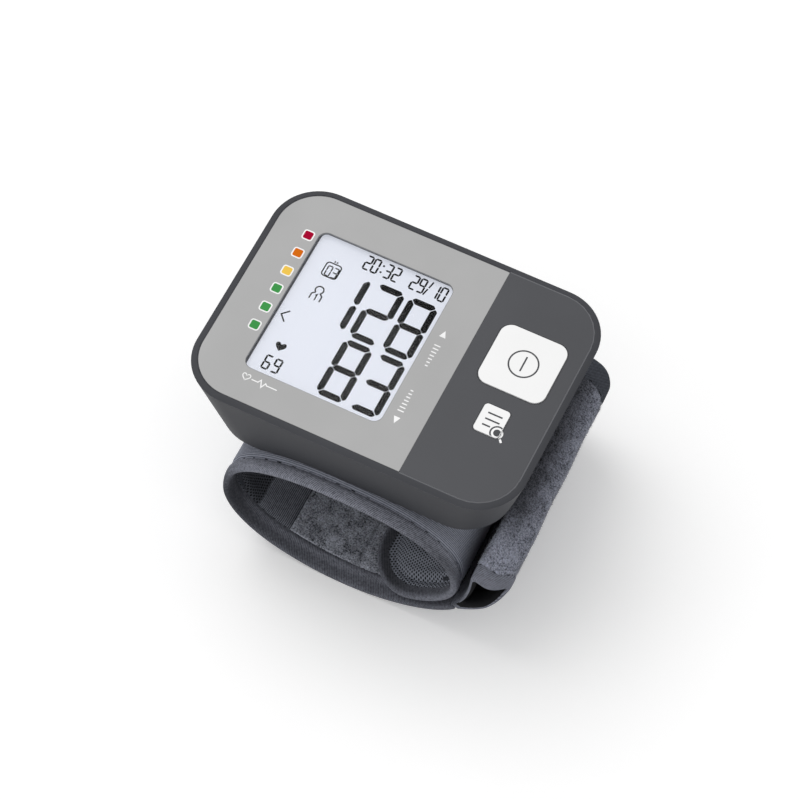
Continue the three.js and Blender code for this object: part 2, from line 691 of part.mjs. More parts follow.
// How deep a cell's axis lies at a given x when it rests, with clearance, on the heel or along the cuff
function cellRestDepth(x) {
  const reach = CELL_DIAMETER / 2 + FIT;
  let depth = HEEL_DEPTH - WALL - reach;
  for (let turn = 0; turn > -QUARTER_TURN; turn -= 1) {
    const floor = cuffPoint(turn, cuffWall + CUFF_GAP + WALL);
    const across = Math.abs(floor.x - x);
    if (across < reach) {
      depth = Math.min(depth, -floor.y - Math.sqrt(reach ** 2 - across ** 2));
    }
  }
  return depth;
}

function makeCell(cell) {
  const radius = CELL_DIAMETER / 2;
  const half = CELL_LENGTH / 2;
  const shoulder = half - CELL_NUB_LENGTH;
  const profile = [[0, -half], [radius - CELL_EDGE, -half], [radius, -half + CELL_EDGE]];
  profile.push([radius, shoulder - CELL_EDGE], [radius - CELL_EDGE, shoulder]);
  profile.push([CELL_NUB / 2, shoulder], [CELL_NUB / 2, half], [0, half]);
  const geometry = new THREE.LatheGeometry(profile.map(([r, y]) => new THREE.Vector2(r, y)), ROUND_SIDES);
  if (cell.way < 0) {
    geometry.rotateZ(Math.PI);
  }
  return solidOf(geometry.translate(cell.x, 0, -cell.depth));
}

// A contact at one end of the bay: a leaf with a pressed dimple for each cell it serves, joined by bars
function makeContact(served, side) {
  const inside = side * (CELL_LENGTH / 2 + CONTACT_ROOM);
  const outside = inside + side * CONTACT_THICK;
  const tip = side * (CELL_LENGTH / 2 + FACE_FIT);
  const [lowY, highY] = side > 0 ? [inside, outside] : [outside, inside];
  const [dimpleLow, dimpleHigh] = side > 0 ? [tip, outside - FACE_FIT] : [outside + FACE_FIT, tip];
  const half = CONTACT_SIZE / 2;
  const pieces = served.map(({ x, depth }) => {
    const leaf = block(x - half, x + half, lowY, highY, depth - half, depth + half);
    return leaf.add(rodAlongY(CONTACT_DIMPLE, x, depth, dimpleLow, dimpleHigh, SMALL_SIDES));
  });
  for (let i = 1; i < served.length; i += 1) {
    const bar = new THREE.Shape();
    bar.moveTo(served[i - 1].x, -served[i - 1].depth - half);
    bar.lineTo(served[i].x, -served[i].depth - half);
    bar.lineTo(served[i].x, -served[i].depth);
    bar.lineTo(served[i - 1].x, -served[i - 1].depth);
    bar.closePath();
    pieces.push(sectionAlongY(bar, lowY, highY));
  }
  return pieces.reduce((contact, piece) => contact.add(piece));
}

cells.forEach((cell, i) => addPiece(`battery_${i + 1}`, makeCell(cell), cellSleeve));
cells.forEach((cell, i) => addPiece(`battery_contact_${i + 1}`, makeContact([cell], 1), steel));
addPiece("battery_bridge", makeContact(cells, -1), steel);

// Air pump: motor, crank and head
const motorEnd = MOTOR_END_Y + MOTOR_LENGTH;
const headStart = motorEnd + CRANK_ROOM;
const headEnd = headStart + PUMP_HEAD_LENGTH;

function flatSided(lowY, highY) {
  const round = rodAlongY(PUMP_DIAMETER, pumpX, pumpDepth, lowY, highY);
  const half = PUMP_DIAMETER;
  const top = pumpDepth - PUMP_FLATS / 2;
  return round.intersect(block(pumpX - half, pumpX + half, lowY, highY, top, top + PUMP_FLATS));
}

function makeMotor() {
  const boreDiameter = MOTOR_SHAFT + 2 * FIT;
  const boreStart = motorEnd - MOTOR_SHAFT_LENGTH;
  const bore = rodAlongY(boreDiameter, pumpX, pumpDepth, boreStart, motorEnd + FIT, SMALL_SIDES);
  return flatSided(MOTOR_END_Y, motorEnd).subtract(bore);
}

function makePumpHead() {
  const cage = flatSided(motorEnd + FIT, headStart + FIT);
  const roomHalf = PUMP_FLATS / 2 - PUMP_CAGE_PLATE;
  const roomTop = pumpDepth - roomHalf;
  const roomBottom = pumpDepth + roomHalf;
  const side = PUMP_DIAMETER;
  const room = block(pumpX - side, pumpX + side, motorEnd, headStart, roomTop, roomBottom);
  const head = flatSided(headStart, headEnd);
  const nipple = rodAlongY(NIPPLE, pumpX, pumpDepth, headEnd - FIT, headEnd + NIPPLE_LENGTH, SMALL_SIDES);
  return cage.add(head).add(nipple).subtract(room);
}

function makeCrank() {
  const discStart = motorEnd + FIT + FACE_FIT;
  const discEnd = discStart + CRANK_DISC_THICK;
  const shaftStart = motorEnd - MOTOR_SHAFT_LENGTH + FIT;
  const shaft = rodAlongY(MOTOR_SHAFT, pumpX, pumpDepth, shaftStart, discStart + FIT, SMALL_SIDES);
  const disc = rodAlongY(CRANK_DISC, pumpX, pumpDepth, discStart, discEnd);
  const pinX = pumpX + CRANK_THROW;
  const pin = rodAlongY(CRANK_PIN, pinX, pumpDepth, discEnd - FIT, headStart - FIT, SMALL_SIDES);
  return shaft.add(disc).add(pin);
}

addPiece("pump_motor", makeMotor(), steel);
addPiece("pump_head", makePumpHead(), blackRubber);
addPiece("pump_crank", makeCrank(), whitePlastic);

// Release valve: yoke with nozzle, coil and sprung plunger
const valveTop = floorDepth - FIT - VALVE_SIZE;
const valveDepth = floorDepth - FIT - VALVE_SIZE / 2 + VALVE_PLATE / 2;
const guideDiameter = VALVE_PLUNGER + 2 * FIT;
const coilStart = VALVE_END_Y + VALVE_PLATE + FIT;
const coilEnd = coilStart + VALVE_COIL_LENGTH;
const valveFront = coilEnd + FIT + VALVE_PLATE;
const plungerHead = valveFront + VALVE_TRAVEL + FIT;
const nozzleStart = plungerHead + VALVE_HEAD_THICK + FIT;
const nozzleEnd = nozzleStart + VALVE_NOZZLE_THICK;

function makeValveYoke() {
  const half = VALVE_SIZE / 2;
  const across = (lowY, highY, top, bottom) =>
    block(valveX - half, valveX + half, lowY, highY, top, bottom);
  const bottom = valveTop + VALVE_SIZE;
  let yoke = across(VALVE_END_Y, nozzleEnd, valveTop, valveTop + VALVE_PLATE);
  yoke = yoke.add(across(VALVE_END_Y, VALVE_END_Y + VALVE_PLATE, valveTop, bottom));
  yoke = yoke.add(across(valveFront - VALVE_PLATE, valveFront, valveTop, bottom));
  yoke = yoke.add(across(nozzleStart, nozzleEnd, valveTop, bottom));
  const guide = rodAlongY(guideDiameter, valveX, valveDepth, coilEnd, plungerHead, SMALL_SIDES);
  const nippleEnd = nozzleEnd + NIPPLE_LENGTH;
  const nipple = rodAlongY(NIPPLE, valveX, valveDepth, nozzleStart + FIT, nippleEnd, SMALL_SIDES);
  return yoke.subtract(guide).add(nipple);
}

function makeValvePlunger() {
  const rodStart = coilStart + VALVE_TRAVEL + FIT;
  const rod = rodAlongY(VALVE_PLUNGER, valveX, valveDepth, rodStart, plungerHead + FIT, SMALL_SIDES);
  return rod.add(rodAlongY(VALVE_HEAD, valveX, valveDepth, plungerHead, plungerHead + VALVE_HEAD_THICK));
}

const coilDiameter = VALVE_SIZE - VALVE_PLATE - 2 * FIT;
const coilBore = rodAlongY(guideDiameter, valveX, valveDepth, coilStart - FIT, coilEnd + FIT, SMALL_SIDES);
const coil = rodAlongY(coilDiameter, valveX, valveDepth, coilStart, coilEnd).subtract(coilBore);
addPiece("valve_yoke", makeValveYoke(), steel);
addPiece("valve_coil", coil, copper);
addPiece("valve_plunger", makeValvePlunger(), steel);

// Pressure sensor, tee and hoses
const sensorBottom = boardBottomDepth + SENSOR_THICK;
const teeDepth = pumpDepth;
const teeTop = sensorBottom + FIT;
const teeBottom = teeDepth + TEE_REACH - FIT;
const teeBore = NIPPLE + 2 * FIT;

function makeSensor() {
  const half = SENSOR_SIZE / 2;
  const highX = sensorX + half;
  const highY = SENSOR_Y + half;
  const body = block(sensorX - half, highX, SENSOR_Y - half, highY, boardBottomDepth, sensorBottom);
  const nippleBottom = teeDepth - NIPPLE / 2 - FIT;
  return body.add(upright(NIPPLE, sensorX, SENSOR_Y, sensorBottom - FIT, nippleBottom, SMALL_SIDES));
}

function makeTee() {
  const lowX = sensorX - TEE_REACH;
  const highX = sensorX + TEE_REACH;
  const pipe = upright(TEE_DIAMETER, sensorX, SENSOR_Y, teeTop, teeBottom, SMALL_SIDES);
  const arms = rodAlongX(NIPPLE, SENSOR_Y, teeDepth, lowX, highX, SMALL_SIDES);
  const bore = upright(teeBore, sensorX, SENSOR_Y, teeTop - FIT, teeBottom + FIT, SMALL_SIDES);
  const stub = upright(NIPPLE, sensorX, SENSOR_Y, teeDepth - NIPPLE / 2, teeDepth + NIPPLE / 2, SMALL_SIDES);
  return pipe.subtract(bore).add(arms).add(stub.intersect(arms));
}

// A soft hose that slips over two nipples
function makeHose(points) {
  const route = new THREE.CatmullRomCurve3(points.map(([x, y, depth]) => new THREE.Vector3(x, y, -depth)));
  const ring = new THREE.Shape();
  ring.absarc(0, 0, NIPPLE / 2 + FIT + HOSE_WALL, 0, 2 * Math.PI);
  const bore = new THREE.Path();
  bore.absarc(0, 0, NIPPLE / 2 + FIT, 0, 2 * Math.PI);
  ring.holes.push(bore);
  const steps = 6 * (points.length - 1);
  return solidOf(new THREE.ExtrudeGeometry(ring, { steps, extrudePath: route, curveSegments: 5 }));
}

// From a nipple that points along +Y, round a bend, to the tee's arm on the given side
function hoseToTee(x, y, depth, side) {
  const endX = sensorX + side * (TEE_DIAMETER / 2 + FIT);
  const bendY = SENSOR_Y - HOSE_BEND;
  const slant = HOSE_BEND * Math.SQRT1_2;
  const bendX = x - side * HOSE_BEND;
  const route = [[x, y, depth], [x, Math.max(bendY, y + FIT), (depth + teeDepth) / 2]];
  route.push([bendX + side * slant, bendY + slant, teeDepth]);
  route.push([bendX, SENSOR_Y, teeDepth], [endX, SENSOR_Y, teeDepth]);
  return makeHose(route);
}

addPiece("pressure_sensor", makeSensor(), blackRubber);
addPiece("air_tee", makeTee(), whitePlastic);
addPiece("pump_hose", hoseToTee(pumpX, headEnd + FACE_FIT, pumpDepth, 1), softTube);
addPiece("valve_hose", hoseToTee(valveX, nozzleEnd + FACE_FIT, valveDepth, -1), softTube);

// Cuff layers
const cuffPort = (diameter, topDepth, bottomDepth) =>
  upright(diameter, sensorX, SENSOR_Y, topDepth, bottomDepth, SMALL_SIDES);
const portTop = teeDepth + NIPPLE / 2 + FIT;

function makeSleeve() {
  const capSection = bandSection(0, cuffWall, 0);
  const capTurn = turnsFor(ARM_END_CAP);
  let sleeve = cuffBand(SHORT_ARM_TURN, LONG_ARM_TURN, sleeveSection);
  sleeve = sleeve.add(cuffBand(SHORT_ARM_TURN, SHORT_ARM_TURN - capTurn, capSection));
  sleeve = sleeve.add(cuffBand(LONG_ARM_TURN + capTurn, LONG_ARM_TURN, capSection));
  const floor = -faceHeight;
  sleeve = sleeve.subtract(block(-FAR, FAR, -FAR, FAR, -floor, FAR));
  return sleeve.subtract(cuffPort(NIPPLE + 2 * FIT, 0, -cuffCentre));
}

function makeStiffener() {
  const section = bandSection(stiffenerIn, stiffenerOut, HEM + FIT);
  const band = cuffBand(STIFFENER_TURNS[0], STIFFENER_TURNS[1], section);
  return band.subtract(cuffPort(NIPPLE + 2 * FIT, 0, -cuffCentre));
}

// Depth of a layer's upper face at a given x
function layerDepth(x, out) {
  const grow = out - cuffWall;
  const across = Math.abs(x - CUFF_SHIFT) / (CUFF_SPAN / 2 + grow);
  const up = (1 - across ** CUFF_TOP_SQUARENESS) ** (1 / CUFF_TOP_SQUARENESS);
  return -cuffCentre - (CUFF_RISE / 2 + grow) * up;
}

addPiece("cuff_sleeve", makeSleeve(), cuffCloth);
addPiece("cuff_stiffener", makeStiffener(), bladderFilm);
const bladderSection = bandSection(bladderIn, bladderOut, BLADDER_MARGIN);
addPiece("air_bladder", cuffBand(BLADDER_TURNS[0], BLADDER_TURNS[1], bladderSection), bladderFilm);
const liningSection = bandSection(0, liningOut, HEM + FIT);
addPiece("cuff_lining", cuffBand(LINING_TURNS[0], LINING_TURNS[1], liningSection), liningCloth);
const loopSection = bandSection(-FIT - LOOP_PATCH_THICK, -FIT, LOOP_PATCH_MARGIN);
addPiece("loop_patch", cuffBand(LOOP_PATCH_TURNS[0], LOOP_PATCH_TURNS[1], loopSection), velour);
addPiece("cuff_air_port", cuffPort(NIPPLE, portTop, layerDepth(sensorX, bladderOut) - FIT), whitePlastic);

// Closure strap: a flattened loop of webbing that starts where the long arm ends
const strapTurn = LONG_ARM_TURN - turnsFor(FIT);
const strapRoot = cuffPoint(strapTurn, cuffWall);
const strapInner = cuffPoint(strapTurn, cuffWall - STRAP_ROOT);
const strapPeak = new THREE.Vector2(STRAP_PEAK_REACH, STRAP_PEAK_RISE).add(strapRoot);
const strapTongue = new THREE.Vector2(STRAP_TONGUE_REACH, STRAP_TONGUE_RISE).add(strapRoot);
const strapBulge = new THREE.Vector2(STRAP_BULGE_REACH, STRAP_BULGE_RISE).add(strapRoot);
const tongueCurve = new THREE.QuadraticBezierCurve(strapInner, strapTongue, strapPeak);

// A point a set distance from one corner on the way to another
function towards(from, to, distance) {
  return to.clone().sub(from).setLength(distance).add(from);
}

// The loop's section for a given reach of its outer fold, clockwise from the root
function strapOutline(reach) {
  const tip = new THREE.Vector2(reach, STRAP_FOLD_RISE).add(strapRoot);
  const peakStart = towards(strapPeak, strapTongue, STRAP_FOLD_RADIUS);
  const peakEnd = towards(strapPeak, tip, STRAP_FOLD_RADIUS);
  const tipStart = towards(tip, strapPeak, STRAP_FOLD_RADIUS);
  const tipEnd = towards(tip, strapBulge, STRAP_FOLD_RADIUS);
  const shape = new THREE.Shape();
  shape.moveTo(strapInner.x, strapInner.y);
  shape.quadraticCurveTo(strapTongue.x, strapTongue.y, peakStart.x, peakStart.y);
  shape.quadraticCurveTo(strapPeak.x, strapPeak.y, peakEnd.x, peakEnd.y);
  shape.lineTo(tipStart.x, tipStart.y);
  shape.quadraticCurveTo(tip.x, tip.y, tipEnd.x, tipEnd.y);
  shape.quadraticCurveTo(strapBulge.x, strapBulge.y, strapRoot.x, strapRoot.y);
  return { points: shape.getPoints(STRAP_STEPS), corners: [strapRoot, strapPeak, tip] };
}

// The same section drawn in by the webbing's thickness, about the middle of the loop
function drawnIn({ points, corners }) {
  const [root, peak, tip] = corners;
  const sides = [peak.distanceTo(tip), tip.distanceTo(root), root.distanceTo(peak)];
  const around = sides[0] + sides[1] + sides[2];
  const middle = new THREE.Vector2();
  corners.forEach((corner, i) => middle.addScaledVector(corner, sides[i] / around));
  const doubleArea = Math.abs(peak.clone().sub(root).cross(tip.clone().sub(root)));
  const share = 1 - STRAP_THICK / (doubleArea / around);
  return points.map((point) => point.clone().sub(middle).multiplyScalar(share).add(middle));
}

function strapSolid(nearPoints, farPoints, halfWidth) {
  const ringAt = (points, y) => points.map((point) => new THREE.Vector3(point.x, y, point.y));
  const rings = [ringAt(nearPoints, -halfWidth), ringAt(farPoints, halfWidth)];
  const mirrored = nearPoints.map((point) => new THREE.Vector2(-point.x, point.y));
  return skin(rings, THREE.ShapeUtils.triangulateShape(mirrored, []));
}

// The strap seen from above, with its two outer corners rounded off
function strapPlan() {
  const half = CUFF_WIDTH / 2;
  const near = strapRoot.x + STRAP_NEAR_REACH;
  const far = strapRoot.x + STRAP_FAR_REACH;
  const plan = new THREE.Shape();
  plan.moveTo(0, -half);
  plan.lineTo(near - STRAP_NEAR_CORNER, -half);
  plan.quadraticCurveTo(near, -half, near, -half + STRAP_NEAR_CORNER);
  plan.lineTo(far, half - STRAP_FAR_CORNER);
  plan.quadraticCurveTo(far, half, far - STRAP_FAR_CORNER, half);
  plan.lineTo(0, half);
  plan.closePath();
  return plate(plan, 0, FAR);
}

function makeStrap() {
  const near = strapOutline(STRAP_NEAR_REACH);
  const far = strapOutline(STRAP_FAR_REACH);
  const outside = strapSolid(near.points, far.points, CUFF_WIDTH / 2);
  const hollow = strapSolid(drawnIn(near), drawnIn(far), CUFF_WIDTH / 2 + FIT);
  return outside.subtract(hollow).intersect(strapPlan());
}

// Hook patch on the side of the strap that faces the cuff
function makeHookPatch() {
  const onTongue = tongueCurve.getPoints(2 * STRAP_STEPS);
  const low = strapRoot.y + HOOK_PATCH_LOW;
  const high = strapRoot.y + HOOK_PATCH_HIGH;
  const covered = onTongue.filter(({ y }) => y > low && y < high);
  const outer = covered.map(({ x, y }) => new THREE.Vector2(x - FIT, y));
  const inner = covered.map(({ x, y }) => new THREE.Vector2(x - FIT - HOOK_PATCH_THICK, y)).reverse();
  const halfWidth = CUFF_WIDTH / 2 - HOOK_PATCH_MARGIN;
  return sectionAlongY(new THREE.Shape([...outer, ...inner]), -halfWidth, halfWidth);
}

addPiece("closure_strap", makeStrap(), velour);
addPiece("hook_patch", makeHookPatch(), blackRubber);

export default monitor;
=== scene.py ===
"""Looks of a wrist blood pressure monitor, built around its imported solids.

The scene is in metres, with +Z up and the display facing up. Sizes of the cuff, the strap and the signs on
the front are in millimetres, and turns are in degrees.
"""

import json
import math

import bmesh
import bpy
import numpy as np
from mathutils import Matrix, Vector

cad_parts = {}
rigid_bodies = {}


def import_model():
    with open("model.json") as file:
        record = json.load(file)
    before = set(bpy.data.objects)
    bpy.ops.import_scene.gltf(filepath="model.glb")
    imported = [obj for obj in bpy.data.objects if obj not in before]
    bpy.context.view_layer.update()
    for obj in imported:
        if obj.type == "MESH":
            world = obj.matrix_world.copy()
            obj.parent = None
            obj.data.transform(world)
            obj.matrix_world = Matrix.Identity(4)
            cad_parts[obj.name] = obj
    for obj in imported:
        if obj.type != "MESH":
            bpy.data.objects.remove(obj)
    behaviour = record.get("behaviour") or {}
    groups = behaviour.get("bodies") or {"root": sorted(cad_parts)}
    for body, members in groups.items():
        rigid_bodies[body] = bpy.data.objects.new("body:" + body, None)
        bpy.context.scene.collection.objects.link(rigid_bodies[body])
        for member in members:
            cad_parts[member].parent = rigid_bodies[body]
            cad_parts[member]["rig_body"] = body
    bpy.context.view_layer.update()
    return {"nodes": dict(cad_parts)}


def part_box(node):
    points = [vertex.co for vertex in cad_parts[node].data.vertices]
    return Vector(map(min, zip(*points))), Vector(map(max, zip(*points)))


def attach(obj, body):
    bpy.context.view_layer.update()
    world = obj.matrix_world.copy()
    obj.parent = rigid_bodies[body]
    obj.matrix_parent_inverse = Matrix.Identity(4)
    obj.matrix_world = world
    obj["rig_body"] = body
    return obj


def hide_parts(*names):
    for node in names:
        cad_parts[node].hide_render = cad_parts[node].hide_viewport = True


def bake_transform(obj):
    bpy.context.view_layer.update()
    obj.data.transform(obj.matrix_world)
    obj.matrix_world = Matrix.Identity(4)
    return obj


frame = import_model()
NODES = frame["nodes"]

SCENE = bpy.context.scene
MM = 0.001
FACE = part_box("display_fascia")[1].z
LCD_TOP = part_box("lcd_panel")[1].z
random = np.random.default_rng(7)


# Shader nodes

def node(tree, kind, inputs=None, **settings):
    """The outputs of a new shader node; its inputs are linked or set by name or number."""
    made = tree.nodes.new("ShaderNode" + kind)
    for key, value in settings.items():
        setattr(made, key, value)
    for key, value in (inputs or {}).items():
        if isinstance(value, bpy.types.NodeSocket):
            tree.links.new(value, made.inputs[key])
        else:
            made.inputs[key].default_value = value
    return made.outputs


def math_node(operation, *values):
    tree = next(value.id_data for value in values if isinstance(value, bpy.types.NodeSocket))
    return node(tree, "Math", dict(enumerate(values)), operation=operation)[0]


def plus(first, second):
    return math_node("ADD", first, second)


def times(first, second):
    return math_node("MULTIPLY", first, second)


def ramp(factor, stops):
    """A colour between two stops, each a position and a tone, as the factor rises."""
    colour = node(factor.id_data, "ValToRGB", {"Fac": factor})["Color"]
    for element, (position, tone) in zip(colour.node.color_ramp.elements, stops):
        element.position = position
        element.color = tone
    return colour


def noise(tree, scale, detail, **more):
    """A noise over the piece's own coordinates; the scale is in waves per metre."""
    place = node(tree, "TexCoord")["Object"]
    return node(tree, "TexNoise", {"Vector": place, "Scale": scale, "Detail": detail, **more})["Fac"]


def relief(height, strength, depth):
    """Bumps of a depth in millimetres."""
    return node(height.id_data, "Bump", {"Height": height, "Strength": strength, "Distance": depth * MM})[0]


def lay(tree):
    """The cloth's own flat coordinates, in millimetres."""
    return node(tree, "SeparateXYZ", {0: node(tree, "UVMap", uv_map="lay")[0]})


# Camera, light and floor

LENS, SENSOR = 134.75, 36
CAMERA_PLACE = (0.14954, -0.29926, 0.6528)
CAMERA_AZIMUTH, CAMERA_ELEVATION = 26.415, 61.464
LAMP_AIM = (0, 0, 0.03)
SKY = 0.66
FLOOR_HALF = 4


def add_aimed(data, place, way):
    """A camera or lamp at a place, which looks along a way."""
    made = bpy.data.objects.new(data.name, data)
    made.location = place
    made.rotation_mode = "QUATERNION"
    made.rotation_quaternion = way.to_track_quat("-Z", "Y")
    SCENE.collection.objects.link(made)
    return made


def make_camera():
    data = bpy.data.cameras.new("camera")
    data.lens = LENS
    data.sensor_width = SENSOR
    data.clip_start, data.clip_end = 0.05, 10
    azimuth, elevation = math.radians(CAMERA_AZIMUTH), math.radians(CAMERA_ELEVATION)
    level = math.cos(elevation)
    back = Vector((math.sin(azimuth) * level, -math.cos(azimuth) * level, math.sin(elevation)))
    SCENE.camera = add_aimed(data, CAMERA_PLACE, -back)


def make_lamp(name, place, size, power):
    data = bpy.data.lights.new(name, "AREA")
    data.shape = "DISK"
    data.size = size
    data.energy = power
    add_aimed(data, place, Vector(LAMP_AIM) - Vector(place))


def make_world():
    """A soft sky for light, which the camera and mirrors see as white."""
    world = bpy.data.worlds.new("studio")
    world.use_nodes = True
    tree = world.node_tree
    tree.nodes.clear()
    rays = node(tree, "LightPath")
    seen = math_node("MAXIMUM", rays["Is Camera Ray"], rays["Is Glossy Ray"])
    seen = math_node("MAXIMUM", seen, rays["Is Transmission Ray"])
    sky = node(tree, "Background", {"Color": (1, 1, 1, 1), "Strength": SKY})
    white = node(tree, "Background", {"Color": (1, 1, 1, 1), "Strength": 1.0})
    mixed = node(tree, "MixShader", {0: seen, 1: sky[0], 2: white[0]})
    node(tree, "OutputWorld", {"Surface": mixed[0]})
    SCENE.world = world
    SCENE.view_settings.view_transform = "Standard"


def make_floor():
    corners = [(x * FLOOR_HALF, y * FLOOR_HALF, 0) for x, y in ((-1, -1), (1, -1), (1, 1), (-1, 1))]
    add_mesh("floor", corners, [(0, 1, 2, 3)], [FLOOR])


# Materials

DRIFT_SCALE, GLOSS_DRIFT, GRAIN_STRENGTH = 70.0, 0.06, 0.35
YARN_SCALE, CLOUD_SCALE, NET_SCALE = 1700.0, 120.0, 1100.0
TUFT_SCALE, FLECK_SCALE, PATCH_SCALE = 2500.0, 3400.0, 340.0
HAZE_SCALE = 45.0
CLOTH_ROUGHNESS, CLOTH_SPECULAR = 0.85, 0.1
NAP_ROUGHNESS, NAP_SPECULAR, NAP_DEPTH = 0.95, 0.05, 0.5


def linear(red, green, blue):
    """Linear colour from 0-255 display values."""
    def one(value):
        value /= 255
        return value / 12.92 if value <= 0.04045 else ((value + 0.055) / 1.055) ** 2.4
    return (one(red), one(green), one(blue), 1)


def shaded(colour, share):
    return tuple(min(1, part * share) for part in colour[:3]) + (1,)


def material_maker(fill):
    """A function that makes a named material, from one that fills its node tree."""
    def make(name, *values, **settings):
        material = bpy.data.materials.new(name)
        material.use_nodes = True
        material.node_tree.nodes.clear()
        fill(material.node_tree, *values, **settings)
        return material
    return make


def plain_name(material):
    """The material's name without the number that Blender adds to a second one."""
    return material.name.split(".")[0]


def surface(colour, roughness, normal=None, metallic=0.0, specular=0.3, **extra):
    extra |= {"Base Color": colour, "Roughness": roughness, "Metallic": metallic}
    extra["Specular IOR Level"] = specular
    if normal is not None:
        extra["Normal"] = normal
    shader = node(colour.id_data, "BsdfPrincipled", extra)
    node(colour.id_data, "OutputMaterial", {"Surface": shader[0]})


@material_maker
def moulded(tree, colour, grain=0.25, bump=0.03, roughness=0.45, metallic=0.0, specular=0.3,
            spread=0.08, share=1.0, **extra):
    """Moulded or rolled stock: a fine grain and a slow drift of its colour and gloss."""
    colour = shaded(linear(*colour), share)
    fine, slow = noise(tree, 1 / (grain * MM), 3.0), noise(tree, DRIFT_SCALE, 2.0)
    tone = ramp(slow, [(0.3, shaded(colour, 1 - spread)), (0.7, shaded(colour, 1 + spread))])
    low, high = roughness - GLOSS_DRIFT, roughness + GLOSS_DRIFT
    gloss = node(tree, "MapRange", {"Value": slow, "To Min": low, "To Max": high})[0]
    surface(tone, gloss, relief(fine, GRAIN_STRENGTH, bump), metallic, specular, **extra)


def dark_plastic(name, colour, **look):
    """The housing's moulding, in one of its tones."""
    return moulded(name, colour, grain=0.22, spread=0.05, **look)


def printed(name, colour, roughness=0.6, **look):
    return moulded(name, colour, grain=0.2, bump=0.003, roughness=roughness, **look)


def with_painted_shade(tone, share):
    """Painted light and shade: the full tone where the piece's stored light value is 1, going down to a
    share of it where the value is 0.
    """
    if share == 1:
        return tone
    tree = tone.id_data
    lit = node(tree, "Attribute", attribute_name="lit")["Fac"]
    dim = node(tree, "MixRGB", {0: 1.0, 1: tone, 2: (share, share, share, 1)}, blend_type="MULTIPLY")
    return node(tree, "MixRGB", {0: lit, 1: dim[0], 2: tone})[0]


def varied(level, extra, share):
    """The level with a share of a noise added, which keeps its mean."""
    return plus(level, times(math_node("SUBTRACT", extra, 0.5), share))


def mottled(fine, clouds):
    """A fine noise with a share of slow patches, as where a nap lies in different ways."""
    patch = noise(fine.id_data, PATCH_SCALE, 4.0, Roughness=0.65, Distortion=0.4)
    return plus(times(fine, 1 - clouds), times(patch, clouds))


@material_maker
def woven(tree, dark, light, pitch, bump=0.12, twill=0.0, drift=0.25, ribs=None, shade=1.0, fleck=0.6):
    """Weave, twill or ribs over the cloth's lay, with painted shade: darker where the piece's stored light
    is low.
    """
    step = 2 * math.pi / pitch
    along, across = (times(part, step) for part in lay(tree)[:2])
    if ribs == "along":
        waves = math_node("SINE", across)
    elif ribs == "across":
        waves = math_node("SINE", along)
    else:
        slanted = plus(along, times(across, twill))
        waves = times(math_node("SINE", slanted), math_node("SINE", across))
    height = math_node("MULTIPLY_ADD", waves, 0.5, 0.5)
    level = varied(height, noise(tree, YARN_SCALE, 3.0, Roughness=0.6), fleck)
    level = varied(level, noise(tree, CLOUD_SCALE, 3.0), drift)
    tone = with_painted_shade(ramp(level, [(0.0, linear(*dark)), (0.94, linear(*light))]), shade)
    surface(tone, CLOTH_ROUGHNESS, relief(level, 0.7, bump), 0.0, CLOTH_SPECULAR)


@material_maker
def netting(tree, dark, light, pitch, shade, bump=0.25):
    """Spacer mesh: round holes in staggered rows over the cloth's lay, with painted shade where the piece's
    stored light is low.
    """
    flat = lay(tree)
    step = 4 * math.pi / (math.sqrt(3) * pitch)
    waves = []
    for turn in (0, 60, 120):
        cosine, sine = math.cos(math.radians(turn)), math.sin(math.radians(turn))
        along = times(flat[0], cosine * step)
        across = times(flat[1], sine * step)
        waves.append(math_node("COSINE", plus(along, across)))
    total = plus(plus(waves[0], waves[1]), waves[2])
    span = {"Value": total, "From Min": -0.4, "From Max": 1.6}
    hole = node(tree, "MapRange", span, interpolation_type="SMOOTHSTEP")[0]
    solid = math_node("SUBTRACT", 1.0, hole)
    level = plus(solid, times(noise(tree, NET_SCALE, 3.0), 0.35))
    tone = with_painted_shade(ramp(times(level, 0.75), [(0.15, linear(*dark)), (0.9, linear(*light))]), shade)
    surface(tone, CLOTH_ROUGHNESS, relief(level, 0.8, bump), 0.0, CLOTH_SPECULAR)


@material_maker
def napped(tree, dark, light, clouds, shade=1.0):
    """Velour: tufts of short loops, mottled where the nap lies in different ways, with painted shade when a
    share of shade is given.
    """
    level = mottled(noise(tree, TUFT_SCALE, 4.0, Roughness=0.7), clouds)
    tone = with_painted_shade(ramp(level, [(0.38, linear(*dark)), (0.61, linear(*light))]), shade)
    sheen = {"Sheen Weight": 0.25, "Sheen Roughness": 0.5}
    surface(tone, NAP_ROUGHNESS, relief(level, 1.0, NAP_DEPTH), 0.0, NAP_SPECULAR, **sheen)


@material_maker
def flecked(tree, dark, light, clouds, shade=1.0):
    """Fine fibres: each a tone of its own, mottled like the nap under them, with painted shade when a share
    of shade is given.
    """
    level = mottled(noise(tree, FLECK_SCALE, 2.0), clouds)
    tone = with_painted_shade(ramp(level, [(0.4, linear(*dark)), (0.6, linear(*light))]), shade)
    surface(tone, NAP_ROUGHNESS, None, 0.0, NAP_SPECULAR)


@material_maker
def clear(tree):
    """Clear window: passes light straight through and mirrors a little."""
    haze = noise(tree, HAZE_SCALE, 2.0)
    gloss = node(tree, "MapRange", {"Value": haze, "To Min": 0.04, "To Max": 0.1})
    edge = node(tree, "Fresnel", {"IOR": 1.3})
    through = node(tree, "BsdfTransparent", {"Color": (0.985, 0.988, 0.99, 1)})
    mirror = node(tree, "BsdfGlossy", {"Color": (1, 1, 1, 1), "Roughness": gloss[0]})
    share = times(edge[0], 0.3)
    mixed = node(tree, "MixShader", {0: share, 1: through[0], 2: mirror[0]})
    node(tree, "OutputMaterial", {"Surface": mixed[0]})


